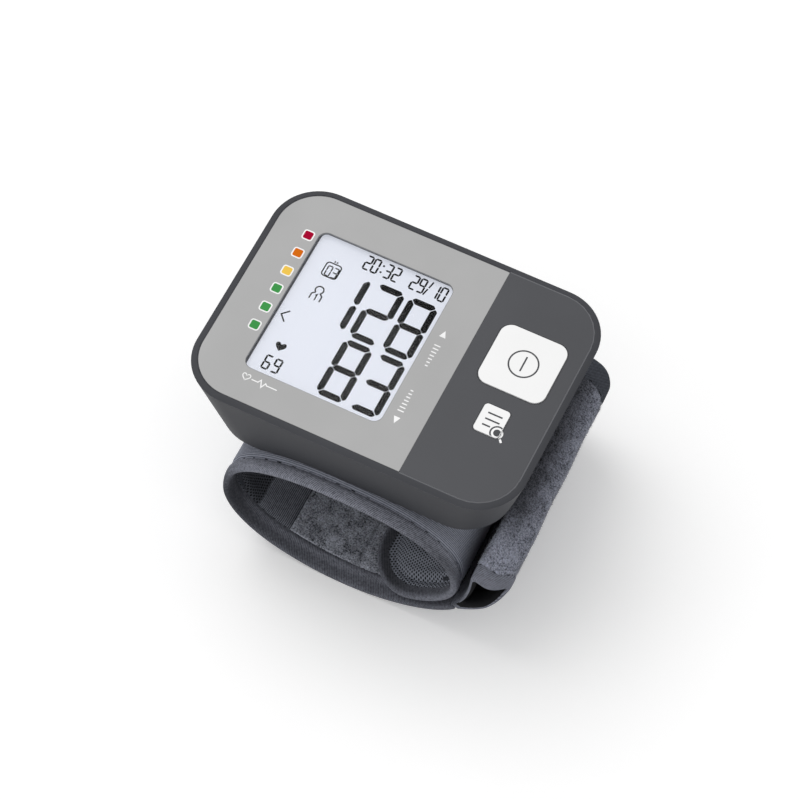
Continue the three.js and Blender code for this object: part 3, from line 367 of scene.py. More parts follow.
@material_maker
def backdrop(tree, colour, bounce, glow):
    """Pale floor, which throws only a share of its light back onto the object."""
    colour = linear(*colour)
    tone = ramp(noise(tree, DRIFT_SCALE, 2.0), [(0.3, shaded(colour, 0.998)), (0.7, colour)])
    again = node(tree, "LightPath")["Is Diffuse Ray"]
    tone = node(tree, "MixRGB", {0: again, 1: tone, 2: shaded(colour, bounce)})[0]
    surface(tone, 0.9, None, 0.0, 0.05, **{"Emission Color": tone, "Emission Strength": glow})


# The display's glow is partly its backlight and partly painted light, which evens out the shade of the
# window's recess on it.
DISPLAY_TONE, DISPLAY_GLOW = (230, 233, 243), 0.64
# Share of the nap's tone that is left where its painted shade is deepest.
NAP_PAINTED_SHADE = 0.15

CASE = dark_plastic("case_plastic", (70, 71, 75), bump=0.02, roughness=0.42, specular=0.28)
HOUSING = dark_plastic("housing_plastic", (67, 68, 72), bump=0.02, roughness=0.55, specular=0.12)
# A lighter tone for the bevels of the housing and the keypad: a painted highlight along their edges.
EDGE_HIGHLIGHT = dark_plastic("edge_plastic", (108, 109, 113), bump=0.01, roughness=0.35, specular=0.4)
# A lighter tone for the rim's seam bead beside the display: a painted highlight.
SEAM_HIGHLIGHT = dark_plastic("bead_plastic", (104, 105, 109), bump=0.01, roughness=0.5, specular=0.2)
LIGHT = moulded("light_plastic", (172, 172, 172), grain=0.2, bump=0.012, roughness=0.45, spread=0.03)
WHITE = moulded("white_plastic", (247, 247, 247), grain=0.3, bump=0.01, roughness=0.4, spread=0.015)
GLASS = clear("clear_plastic")
# The display glows: partly its backlight, partly painted light over the recess's shade.
PANEL = moulded("display_glass", DISPLAY_TONE, grain=2.0, bump=0.003, roughness=0.3,
                specular=0.1, spread=0.02, share=1 - DISPLAY_GLOW,
                **{"Emission Color": linear(*DISPLAY_TONE), "Emission Strength": DISPLAY_GLOW})
BLACK = moulded("black_plastic", (32, 32, 34), roughness=0.5)
RUBBER = moulded("black_rubber", (28, 28, 30), roughness=0.8, specular=0.15)
BOARD = moulded("board", (34, 92, 58), grain=0.6, bump=0.02, roughness=0.4, spread=0.15)
STEEL = moulded("steel", (190, 192, 195), grain=0.4, bump=0.01, roughness=0.32, metallic=1.0)
CELL = moulded("cell", (100, 106, 114), grain=0.5, bump=0.006, roughness=0.35, metallic=0.5)
COPPER = moulded("copper", (184, 118, 62), grain=0.2, bump=0.05, roughness=0.4, metallic=0.8)
TUBE = moulded("soft_tube", (215, 215, 208), grain=0.5, bump=0.01, roughness=0.55)
FILM = moulded("cuff_film", (54, 56, 62), grain=0.4, bump=0.03, roughness=0.5)
INK = moulded("display_ink", (9, 9, 10), grain=0.3, bump=0.002, roughness=0.7, specular=0.02)
PRINT = printed("white_print", (250, 250, 250))
MARK = printed("grey_print", (70, 71, 74))
# Grey of the window's wall and of the display's border: painted shade of the window's recess.
WINDOW_SHADE = printed("window_edge", (132, 133, 136), specular=0.1)
# Cloths given a share of shade here are painted darker, down to that share, where their piece's stored light
# is low.
SLEEVE = woven("cuff_cloth", (100, 103, 114), (170, 174, 187), 0.42,
               bump=0.06, ribs="along", shade=0.4, fleck=1.0)
HEM = woven("hem_cloth", (64, 66, 74), (178, 181, 194), 0.46,
            bump=0.06, twill=0.5, shade=0.15, fleck=1.2)
# Darker cloth for the strap's far hem: painted shade.
FAR_HEM_SHADE = woven("binding_cloth", (36, 38, 43), (84, 87, 95), 0.5, bump=0.08)
LINING = netting("lining_cloth", (20, 21, 24), (142, 146, 157), 0.82, shade=0.25)
PANELLING = woven("panel_cloth", (50, 52, 58), (128, 131, 140), 0.5,
                  bump=0.06, ribs="across", drift=0.5, fleck=1.2)
VELOUR = napped("velour", (67, 70, 78), (201, 205, 224), clouds=0.3, shade=NAP_PAINTED_SHADE)
PILE = napped("loop_pile", (32, 34, 38), (204, 208, 221), clouds=0.35)
WEBBING = woven("webbing", (46, 48, 54), (160, 163, 176), 0.5, bump=0.1, twill=0.5, fleck=1.2)
# Near-black cloth on the inside of the strap's loop: painted shade of its hollow.
HOLLOW_SHADE = woven("pocket_cloth", (8, 8, 9), (26, 27, 30), 0.62, bump=0.15)
LOOP_FIBRE = flecked("fibre", (42, 44, 50), (162, 166, 180), clouds=0.3)
STRAP_FIBRE = flecked("strap_fibre", (67, 70, 78), (239, 245, 255), clouds=0.3, shade=NAP_PAINTED_SHADE)
THREAD = moulded("thread", (30, 31, 35), grain=0.1, bump=0.03, roughness=0.85, specular=0.05, spread=0.2)
HOOK = moulded("hook_tape", (30, 31, 34), grain=0.2, bump=0.05, roughness=0.75, specular=0.1)
FLOOR = backdrop("floor", (253, 253, 253), bounce=0.55, glow=0.16)

SLOT_LOOKS = {plain_name(look): look for look in (
    CASE, LIGHT, WHITE, GLASS, PANEL, BLACK, RUBBER, BOARD, STEEL, CELL, COPPER, TUBE, FILM,
    SLEEVE, LINING, VELOUR, HOOK)}


def dress_nodes():
    for solid in NODES.values():
        for material_slot in solid.material_slots:
            material_slot.material = SLOT_LOOKS[plain_name(material_slot.material)]


# Mesh helpers

SAME_POINT, SAME_PLANE = 2e-6, math.radians(0.4)
SHARP, BEVEL_STEPS = math.radians(32), 2


def add_mesh(name, points, faces, materials, rounded=True):
    mesh = bpy.data.meshes.new(name)
    mesh.from_pydata([tuple(p) for p in points], [], [tuple(int(i) for i in f) for f in faces])
    for material in materials:
        mesh.materials.append(material)
    mesh.polygons.foreach_set("use_smooth", [rounded] * len(mesh.polygons))
    mesh.update()
    piece = bpy.data.objects.new(name, mesh)
    SCENE.collection.objects.link(piece)
    return piece


def rework(piece, change):
    """Edits the piece's mesh by a function of its bmesh."""
    work = bmesh.new()
    work.from_mesh(piece.data)
    change(work)
    work.to_mesh(piece.data)
    work.free()


def merge(work, distance):
    bmesh.ops.remove_doubles(work, verts=work.verts, dist=distance)


def face_outwards(work):
    bmesh.ops.recalc_face_normals(work, faces=work.faces)


def quads(index, flip=False):
    """Faces over a grid of point numbers."""
    corners = [index[:-1, :-1], index[:-1, 1:], index[1:, 1:], index[1:, :-1]]
    if flip:
        corners = [corners[k] for k in (0, 3, 2, 1)]
    return stacked(*corners).reshape(-1, 4)


def wrapped(index):
    """A grid of point numbers whose last column meets its first."""
    return np.concatenate([index, index[:, :1]], 1)


def stacked(*parts):
    """Points from their coordinates, or faces from their corners."""
    return np.stack(parts, -1)


def two_faces(first, second):
    return np.concatenate([first.reshape(-1, 3), second.reshape(-1, 3)])


def unit(vectors):
    return vectors / np.linalg.norm(vectors, axis=-1, keepdims=True)


def run_along(path):
    """Distance along a path at each of its points."""
    return np.concatenate([[0], np.cumsum(np.linalg.norm(np.diff(path, axis=0), axis=1))])


def refine(solid_name, edge, looks=()):
    """A finer skin over a rigid solid: the same faces with rounded edges and smooth curves."""
    source = NODES[solid_name]
    own_look = source.material_slots[0].material
    points = np.array([v.co for v in source.data.vertices])
    faces = [list(p.vertices) for p in source.data.polygons]
    skin = add_mesh(solid_name + "_skin", points, faces, looks or [own_look])

    def clean(work):
        merge(work, SAME_POINT)
        bmesh.ops.dissolve_limit(work, angle_limit=SAME_PLANE, verts=work.verts, edges=work.edges)
        for line in work.edges:
            line.smooth = line.is_manifold and line.calc_face_angle(0) < SHARP

    rework(skin, clean)
    bevel = skin.modifiers.new("edges", "BEVEL")
    bevel.width = edge * MM
    bevel.segments = BEVEL_STEPS
    bevel.limit_method = "ANGLE"
    bevel.angle_limit = SHARP
    bevel.harden_normals = True
    # The bevels take the last look; on the housing and the keypad that is a painted highlight.
    bevel.material = len(skin.data.materials) - 1
    weighted = skin.modifiers.new("normals", "WEIGHTED_NORMAL")
    weighted.keep_sharp = True
    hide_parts(solid_name)
    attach(skin, source["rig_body"])


def set_lay(piece, along, across):
    """The flat coordinates, in millimetres, of a piece with two faces, for its weave."""
    flat = np.tile(stacked(along.ravel(), across.ravel()), (2, 1))
    layer = piece.data.uv_layers.new(name="lay")
    corners = np.zeros(len(piece.data.loops), np.int32)
    piece.data.loops.foreach_get("vertex_index", corners)
    layer.data.foreach_set("uv", np.asarray(flat, np.float32)[corners].ravel())


def set_painted_light(piece, values):
    """Painted light and shade: how light the cloth is painted at each point of the piece, for its material.
    """
    layer = piece.data.attributes.new("lit", "FLOAT", "POINT")
    layer.data.foreach_set("value", np.asarray(values, np.float32))


def smooth(value, low, high):
    t = np.clip((value - low) / (high - low), 0, 1)
    return t * t * (3 - 2 * t)


def dimple(distance, centre, width):
    return np.exp(-((distance - centre) / width) ** 2)


def rolled(distance, radius):
    return np.sqrt(1 - (1 - np.clip(distance / radius, 0, 1)) ** 2)


def spread(ends, low, high, step):
    """Values from low to high: close together near both ends, evenly spaced between."""
    first, last = low + ends[0][-1], high - ends[1][-1]
    middle = np.linspace(first, last, max(2, int(round((last - first) / step)) + 1))[1:-1]
    return np.concatenate([low + ends[0], middle, (high - ends[1])[::-1]])


# Cuff: the solids' section. A turn is in degrees from the top towards +X, out in millimetres from the lining

CUFF_SPAN, CUFF_RISE, CUFF_SHIFT, CUFF_TOP = 61.0, 42.0, 0.9, -18.5
CUFF_WALL, CUFF_WIDTH, CUFF_FILL = 3.2, 65.0, 0.35
TOP_SQUARENESS, BOTTOM_SQUARENESS = 2.4, 1.9
LAP_STEP, LAP_TURNS = 3.7, (80, 150)
SHORT_TIP, LONG_END, ARM_ROUND = 170.0, -244.0, 14.0
FLAT = 0.12 * MM
OUTER_SEAM, INNER_SEAM, SEAM_PITCH = 3.6, 4.8, 3.7
OUTER_STITCH, INNER_STITCH, STRAP_STITCH = 1.9, 1.3, 1.4
ARCH = np.linspace(-0.5, 0.5, 7)
HEM_ROLL, HEM_RISE, PUCKER, SEAM_DIP, INNER_DIP = 0.85, 0.15, 0.17, 0.6, 0.5
LAP_HEM, OPEN_HEM, OPEN_TURNS = (2.8, 4.4), (4.4, 7.4), (-125, -105)
ARM_HEM, ARM_HEM_TURNS, ARM_TURNS, LOOK_SLACK = 3.2, (60, 105), (60, 100), 0.1
# Painted light and shade on the cuff's hem and sleeve, by turn: 0 is the deepest painted shade, 1 the full
# tone.
HEM_TURNS = (-175, -150, -120, -95, -70, -45, 0, 30, 60)
HEM_PAINTED_LIGHT = (0.42, 0.38, 0.16, 0.1, 0.5, 0.86, 0.86, 0.6, 0.3)
SLEEVE_TURNS = (-160, -125, -105, -85, -60, 0, 30, 45)
SLEEVE_PAINTED_LIGHT = (0.62, 0.62, 0.9, 1.0, 0.8, 0.8, 0.8, 0.85)
# Turns over which the lining's painted light rises towards the short arm.
LINING_TURNS = (40, 110)
MESH_END, PILE_END = -130.0, -183.0
EDGE_ROWS = np.array([
    0, 0.03, 0.12, 0.27, 0.5, 0.85, 1.6, 2.4, 3.0, 3.35, 3.6, 3.85, 4.3, 4.8, 5.3, 6.0, 7.0, 8.2])
TIP_ROWS = np.array([
    0, 0.02, 0.07, 0.16, 0.3, 0.5, 0.8, 1.2, 1.7, 2.4, 3.2, 4.2, 5.0, 5.8, 6.6, 7.8, 9.2, 11, 13])
EDGE_ZONE = EDGE_ROWS[-1]
PUFF_TURNS, PUFF_EDGE, PUFF_STEPS = (-140, -118), (5.2, 9), 20
PUFF, ARM_PUFF, ARM_PUFF_TURNS = 0.9, 0.7, (90, 120)
PUFF_CLOTH = {
    "quality": 6, "mass": 0.15, "tension_stiffness": 8, "compression_stiffness": 8, "shear_stiffness": 4,
    "bending_stiffness": 0.05, "shrink_min": -0.035, "use_pressure": True, "uniform_pressure_force": 4,
    "vertex_group_mass": "pins"}


def cuff_place(turn, out, y):
    turn, out, y = np.broadcast_arrays(*(np.asarray(part, float) for part in (turn, out, y)))
    angle = np.radians(turn)
    across, up = np.sin(angle), np.cos(angle)
    power = np.where(up >= 0, 2 / TOP_SQUARENESS, 2 / BOTTOM_SQUARENESS)
    grow = out + LAP_STEP * smooth(-turn, *LAP_TURNS) - CUFF_WALL
    x = CUFF_SHIFT + (CUFF_SPAN / 2 + grow) * np.sign(across) * np.abs(across) ** power
    z = CUFF_TOP - CUFF_RISE / 2 + (CUFF_RISE / 2 + grow) * np.sign(up) * np.abs(up) ** power
    return stacked(x * MM, y * MM, np.maximum(FACE + z * MM, FLAT))


TURNS = np.linspace(LONG_END, SHORT_TIP, 4001)
WAY = run_along(cuff_place(TURNS, CUFF_WALL / 2, 0)) / MM
CUFF_LENGTH = WAY[-1]


def turn_at(way):
    return np.interp(way, WAY, TURNS)


def half_width(way):
    from_tip = np.clip(ARM_ROUND - (CUFF_LENGTH - way), 0, ARM_ROUND)
    return CUFF_WIDTH / 2 - ARM_ROUND + np.sqrt(ARM_ROUND**2 - from_tip**2)


def edge_distance(way, y):
    """Distance to the edge of the flat cut, which has two round corners at the short arm's tip."""
    side, tip = CUFF_WIDTH / 2 - np.abs(y), CUFF_LENGTH - way
    corner = ARM_ROUND - np.hypot(np.maximum(ARM_ROUND - side, 0), np.maximum(ARM_ROUND - tip, 0))
    inside = (side < ARM_ROUND) & (tip < ARM_ROUND)
    return np.maximum(0, np.minimum(np.where(inside, corner, np.minimum(side, tip)), way))


def outer_out(way, y):
    """The outside: a rolled edge, a hem that stands up a little, and a puckered seam."""
    d = edge_distance(way, y)
    roll = HEM_ROLL * (1 - rolled(d, HEM_ROLL))
    hem = HEM_RISE * smooth(d, 0.5, 1.6) * (1 - smooth(d, OUTER_SEAM - 1, OUTER_SEAM - 0.3))
    wander = np.sin(way * 2 * np.pi / SEAM_PITCH + 0.8 * np.sin(way * 0.31))
    pucker = PUCKER * wander * dimple(d, OUTER_SEAM, 1.6)
    return CUFF_WALL - roll + hem + pucker - SEAM_DIP * dimple(d, OUTER_SEAM, 0.45)


def inner_out(way, y):
    """The inside: a thin hem, then the lining, which stands in from it over the air chamber."""
    d = edge_distance(way, y)
    soft = smooth(turn_at(way), *OPEN_TURNS)
    start, end = (lap + (full - lap) * soft for lap, full in zip(LAP_HEM, OPEN_HEM))
    thin = CUFF_WALL - HEM_ROLL * (1 + rolled(d, HEM_ROLL))
    return thin * (1 - smooth(d, start, end)) + INNER_DIP * dimple(d, INNER_SEAM, 0.5)


def inner_hem(turn):
    """Width of the hem on the inside: narrower round the short arm, which has a binding."""
    return np.interp(turn, ARM_HEM_TURNS, (INNER_SEAM, ARM_HEM))


def cuff_painted_light(way, turn, d):
    """Painted light and shade on the cloth, outside and inside: the hem is lighter on top, darker at the
    left end and underneath, and darker near the arm's tip, with a painted highlight on the binding's edge;
    the lining is lighter on the short arm.
    """
    arm = smooth(turn, *ARM_TURNS)
    # Painted shade near the arm's tip, and a painted highlight along the binding's edge.
    binding = 0.08 + 0.3 * smooth(CUFF_LENGTH - way, 6, 24) + 0.35 * (1 - smooth(d, 0.6, 1.3))
    hem = np.interp(turn, HEM_TURNS, HEM_PAINTED_LIGHT) * (1 - arm) + binding * arm
    outside = hem + (np.interp(turn, SLEEVE_TURNS, SLEEVE_PAINTED_LIGHT) - hem) * smooth(d, 0.6, 3.0)
    return outside, np.where(d <= inner_hem(turn) + LOOK_SLACK, hem, smooth(turn, *LINING_TURNS))


def puffed(piece, free, caps):
    """Air pressure on the closed band: only free points move, and none further than its cap (metres)."""
    rest = np.array([v.co for v in piece.data.vertices])
    pins = piece.vertex_groups.new(name="pins")
    for index, share in enumerate(free):
        if share < 1:
            pins.add([index], 1 - float(share), "REPLACE")
    cloth = piece.modifiers.new("cloth", "CLOTH")
    for key, value in PUFF_CLOTH.items():
        setattr(cloth.settings, key, value)
    cloth.settings.effector_weights.gravity = 0
    cloth.collision_settings.use_collision = False
    cloth.point_cache.frame_start, cloth.point_cache.frame_end = 1, PUFF_STEPS
    for step in range(1, PUFF_STEPS + 1):
        SCENE.frame_set(step)
    shown = piece.evaluated_get(bpy.context.evaluated_depsgraph_get())
    moved = np.array([v.co for v in shown.data.vertices]) - rest
    piece.modifiers.remove(cloth)
    SCENE.frame_set(1)
    far = np.linalg.norm(moved, axis=1)
    kept = caps * np.tanh(far / np.maximum(caps, 1e-9)) / np.maximum(far, 1e-12)
    final = rest + moved * (kept * free)[:, None]
    piece.data.vertices.foreach_set("co", final.astype(np.float32).ravel())
    piece.data.update()


def make_cuff():
    ways = spread((EDGE_ROWS, TIP_ROWS), 0, CUFF_LENGTH, step=1.9)
    sides = spread((EDGE_ROWS, EDGE_ROWS), 0, CUFF_WIDTH, step=2.2) / CUFF_WIDTH
    half = half_width(ways)[:, None]
    offset = np.minimum(sides, 1 - sides)[None, :] * CUFF_WIDTH
    middle = np.clip((offset - EDGE_ZONE) / (CUFF_WIDTH / 2 - EDGE_ZONE), 0, 1)
    from_edge = np.minimum(offset, EDGE_ZONE) + middle * (half - EDGE_ZONE)
    y = np.where(sides[None, :] < 0.5, -half + from_edge, half - from_edge)
    way = np.repeat(ways[:, None], len(sides), 1)
    turn = turn_at(way)
    d = edge_distance(way, y)
    outer = cuff_place(turn, outer_out(way, y), y)
    inner = cuff_place(turn, inner_out(way, y), y)
    count = way.size
    index = np.arange(count).reshape(way.shape)
    border = np.ones(way.shape, bool)
    border[1:-1, 1:-1] = False
    inside = np.where(border, index, index + count)
    faces = np.stack([quads(index, flip=True), quads(inside)], 1).reshape(-1, 4)
    near = np.maximum.reduce([d[:-1, :-1], d[1:, :-1], d[:-1, 1:], d[1:, 1:]])
    where = turn[:-1, :-1]
    outer_look = np.where(near <= OUTER_SEAM + LOOK_SLACK, 1, 0)
    zones = [near <= inner_hem(where) + LOOK_SLACK, where > MESH_END, where > PILE_END]
    looks = stacked(outer_look, np.select(zones, [1, 2, 3], 4))
    cuff = add_mesh("cuff_band", two_faces(outer, inner), faces, [SLEEVE, HEM, LINING, PANELLING, PILE])
    cuff.data.polygons.foreach_set("material_index", looks.ravel())
    # Painted light and shade, stored on the cuff's points.
    set_painted_light(cuff, np.concatenate([part.ravel() for part in cuff_painted_light(way, turn, d)]))
    set_lay(cuff, way, y)
    open_zone = smooth(turn, *PUFF_TURNS) * smooth(d, *PUFF_EDGE)
    free = np.concatenate([np.zeros(count), open_zone.ravel()])
    caps = (PUFF + ARM_PUFF * smooth(turn.ravel(), *ARM_PUFF_TURNS)) * MM
    puffed(cuff, free, np.concatenate([np.full(count, 1e-6), caps]))

    def drop_loose(work):
        bmesh.ops.delete(work, geom=[v for v in work.verts if not v.link_faces], context="VERTS")

    rework(cuff, drop_loose)
    finer = cuff.modifiers.new("finer", "SUBSURF")
    finer.levels = finer.render_levels = 1
    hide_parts("cuff_sleeve", "cuff_lining")
    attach(cuff, "monitor")


# Stitches and fibres

THREAD_SIDES, FOOT_DEPTH = 6, 0.05


def seam_path(inset):
    """Flat (way, y) points of a seam that runs round the cuff at a set distance from its edge."""
    half, bend = CUFF_WIDTH / 2 - inset, ARM_ROUND - inset
    turn = np.radians(np.linspace(-90, 0, 25))
    along, across = CUFF_LENGTH - ARM_ROUND, half - bend
    corner = stacked(along + bend * np.cos(turn), -across + bend * np.sin(turn))
    start = np.array([[inset, -half]])
    return np.concatenate([start, corner, (corner * [1, -1])[::-1], start * [1, -1]])


def paced(path, pitch):
    """A function that gives points at an even pitch along a path, after a shift along it."""
    run = run_along(path[:, :3])
    count = int(run[-1] / pitch)
    marks = (np.arange(count) + 0.5) * run[-1] / count
    return lambda shift: stacked(*(np.interp(marks + shift, run, part) for part in path.T))


def make_threads(name, lines, body, thick=0.12, look=THREAD):
    """Short arched threads; each line gives points (stitches, steps, 3) and the way up at them."""
    ring = np.linspace(0, 2 * np.pi, THREAD_SIDES, endpoint=False)[:, None]
    points, faces = [], []
    for line, up in lines:
        count, steps = line.shape[:2]
        along = unit(np.gradient(line, axis=1))
        side = unit(np.cross(along, up))
        lift = np.cross(side, along)
        girth = thick * MM * np.sin(np.linspace(0.25, np.pi - 0.25, steps)) ** 0.5
        round_off = np.cos(ring) * side[:, :, None] + np.sin(ring) * lift[:, :, None]
        tubes = line[:, :, None] + girth[:, None, None] * round_off
        index = len(points) + np.arange(count * steps * THREAD_SIDES).reshape(count, steps, THREAD_SIDES)
        points.extend(tubes.reshape(-1, 3))
        for tube in index:
            faces += [*quads(wrapped(tube)), tube[0, ::-1], tube[-1]]
    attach(add_mesh(name, points, faces, [look]), body)


def cuff_stitches(inset, height, lift, length):
    """Stitch lines over the cuff for one seam: height gives the cloth's face, lift is away from it."""
    at = paced(seam_path(inset), SEAM_PITCH)
    own = length * random.uniform(0.6, 1.2, len(at(0)))
    flat = np.stack([at(own * share) for share in ARCH], 1)
    way, y = flat[..., 0], flat[..., 1]
    out = height(way, y) + lift * (0.1 - ARCH**2)
    turn = turn_at(way)
    line = cuff_place(turn, out, y)
    return line, line - cuff_place(turn, out - 2 * lift, y)


def fuzz(name, points, normals, body, look, length, width, lean, lit=None):
    """Short fibres standing on a napped face, each leaning its own way."""
    count = len(points)
    way = unit(normals + lean * random.normal(size=(count, 3)))
    side = unit(np.cross(way, random.normal(size=(count, 3)))) * width * MM / 2
    tall = (length * MM * random.uniform(0.5, 1.2, count))[:, None]
    foot = points - normals * FOOT_DEPTH * MM
    corners = np.stack([foot - side, foot + side, foot + way * tall], 1).reshape(-1, 3)
    fibres = add_mesh(name, corners, np.arange(3 * count).reshape(-1, 3), [look], rounded=False)
    if lit is not None:
        set_painted_light(fibres, np.repeat(lit, 3))
    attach(fibres, body)


# Loop patch on the inside of the cuff

PATCH_TURNS, PATCH_WIDTH, PATCH_OUT, PATCH_SWELL, PATCH_ROLL = (-184.0, -148.0), 56.0, -0.62, 0.35, 0.7
LOOP_COUNT, LOOP_INSET, LOOP_OUT = 9000, 0.3, -0.95


def make_loop_patch():
    low, high = np.interp(PATCH_TURNS, TURNS, WAY)
    ends, half = (EDGE_ROWS[:6], EDGE_ROWS[:6]), PATCH_WIDTH / 2
    rows = spread(ends, 0, high - low, step=1.0)
    columns = spread(ends, 0, PATCH_WIDTH, step=1.4)
    across, along = np.meshgrid(columns - half, rows + low)
    d = np.minimum.reduce([along - low, high - along, half - np.abs(across)])
    swell = PATCH_SWELL * rolled(d, PATCH_ROLL)
    wave = 0.12 * np.sin(along * 2.1 + 0.7 * np.sin(across * 0.6)) * smooth(d, 0.5, 2)
    top = cuff_place(turn_at(along), PATCH_OUT - swell - wave, across)
    bottom = cuff_place(turn_at(along), PATCH_OUT + swell * 0.85, across)
    index = np.arange(across.size).reshape(across.shape)
    faces = np.concatenate([quads(index), quads(index, flip=True) + across.size])
    patch = add_mesh("loop_pile", two_faces(top, bottom), faces, [PILE])
    rework(patch, lambda work: merge(work, 1e-6))
    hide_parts("loop_patch")
    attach(patch, "monitor")
    way = random.uniform(low + LOOP_INSET, high - LOOP_INSET, LOOP_COUNT)
    y = random.uniform(LOOP_INSET - half, half - LOOP_INSET, LOOP_COUNT)
    base = cuff_place(turn_at(way), LOOP_OUT, y)
    up = unit(cuff_place(turn_at(way), LOOP_OUT - 1, y) - base)
    fuzz("loop_fibres", base, up, "monitor", LOOP_FIBRE, length=0.7, width=0.1, lean=1.1)


# Closure strap: the folded loop beside the cuff, as a section in (x, z) that changes a little along Y

NEAR_CORNER, FAR_CORNER, FOLD = 6.0, 4.4, 2.2
NEAR_REACH, FAR_REACH = 12.4, 10.8
NEAR_HEM, FAR_HEM = 4.3, 5.6
STRAP_WALL, ROOT_WALL, STRAP_ROLL = 1.5, 1.8, 0.75
PEAK, TONGUE, BULGE, TIP_RISE = (3.3, 21.5), (2.3, 6.4), (7.6, 5.4), 17.0
ROOT_GAP, ROOT_RADIUS, BLEND_RISE = 0.3, 30.5, 4.0
ROOT_TURN = LONG_END - math.degrees(ROOT_GAP / ROOT_RADIUS)
ROOT = cuff_place(ROOT_TURN, CUFF_WALL, 0)[[0, 2]] / MM
ROOT_INNER = cuff_place(ROOT_TURN, CUFF_WALL - ROOT_WALL, 0)[[0, 2]] / MM
LOOP_POINTS, NAP_COLUMNS, FIBRE_COLUMNS, STITCH_COLUMNS = 112, (18, 84), (22, 82), slice(14, 100)
# Painted light and shade on the strap's nap: darker beside the housing, lighter towards the outer fold and
# the near end, and a set level on the back.
NAP_SHARES, NAP_PAINTED_LIGHT = (0.2, 0.4, 0.6, 0.8, 1.0), (0.03, 0.15, 0.4, 0.68, 0.8)
NEAR_END, BACK_RUN, BACK_PAINTED_LIGHT = (-27, -8), (0.59, 0.65), 0.45
FIBRE_COUNT = 30000


def quadratic(a, b, c, count):
    t = np.linspace(0, 1, count)[:, None]
    return (1 - t) ** 2 * a + 2 * t * (1 - t) * b + t**2 * c


def from_corner(corner, other, distance):
    return corner + (other - corner) * distance / np.linalg.norm(other - corner)


def outwards(normals, places, middle):
    """The normals turned so that they point away from the middle."""
    return normals * np.sign(((places - middle) * normals).sum(1, keepdims=True))


def strap_loop(reach):
    """The loop's outside and inside, from the root up the tongue, over and back, and the run along them."""
    peak, tongue, bulge, tip = ROOT + PEAK, ROOT + TONGUE, ROOT + BULGE, ROOT + (reach, TIP_RISE)
    starts = from_corner(peak, tongue, FOLD), from_corner(peak, tip, FOLD)
    ends = from_corner(tip, peak, FOLD), from_corner(tip, bulge, FOLD)
    path = np.concatenate([
        quadratic(ROOT_INNER, tongue, starts[0], 40), quadratic(starts[0], peak, starts[1], 20)[1:],
        quadratic(ends[0], tip, ends[1], 20), quadratic(ends[1], bulge, ROOT, 40)[1:]])
    run = run_along(path)
    marks = np.linspace(0, run[-1], LOOP_POINTS)
    outside = stacked(*(np.interp(marks, run, part) for part in path.T))
    sides = np.array([np.linalg.norm(peak - tip), np.linalg.norm(tip - ROOT), np.linalg.norm(ROOT - peak)])
    middle = (sides[0] * ROOT + sides[1] * peak + sides[2] * tip) / sides.sum()
    u, v = peak - ROOT, tip - ROOT
    share = 1 - STRAP_WALL / (abs(u[0] * v[1] - u[1] * v[0]) / sides.sum())
    return outside, middle + (outside - middle) * share, marks


def strap_ends(x):
    """Lowest and highest y of the strap at x: its two outer corners are rounded off."""
    def cut(reach, corner):
        t = np.clip((x - (ROOT[0] + reach - corner)) / corner, 0, 1)
        return CUFF_WIDTH / 2 - corner * (1 - np.sqrt(np.maximum(1 - t**2, 0)))
    return -cut(NEAR_REACH, NEAR_CORNER), cut(FAR_REACH, FAR_CORNER)


def strap_painted_light(x, y, run):
    """Painted light and shade on the nap: lighter towards the outer fold and the near end, and even past the
    fold.
    """
    reach = NEAR_REACH + (FAR_REACH - NEAR_REACH) * (y / CUFF_WIDTH + 0.5)
    share = (x - ROOT[0] - PEAK[0]) / (reach - PEAK[0])
    fold = np.interp(share, NAP_SHARES, NAP_PAINTED_LIGHT)
    near = 1 - 0.3 * smooth(share, 0.7, 1)
    top = fold + (near - fold) * (1 - smooth(y, *NEAR_END))
    return top + (BACK_PAINTED_LIGHT - top) * smooth(run, *BACK_RUN)


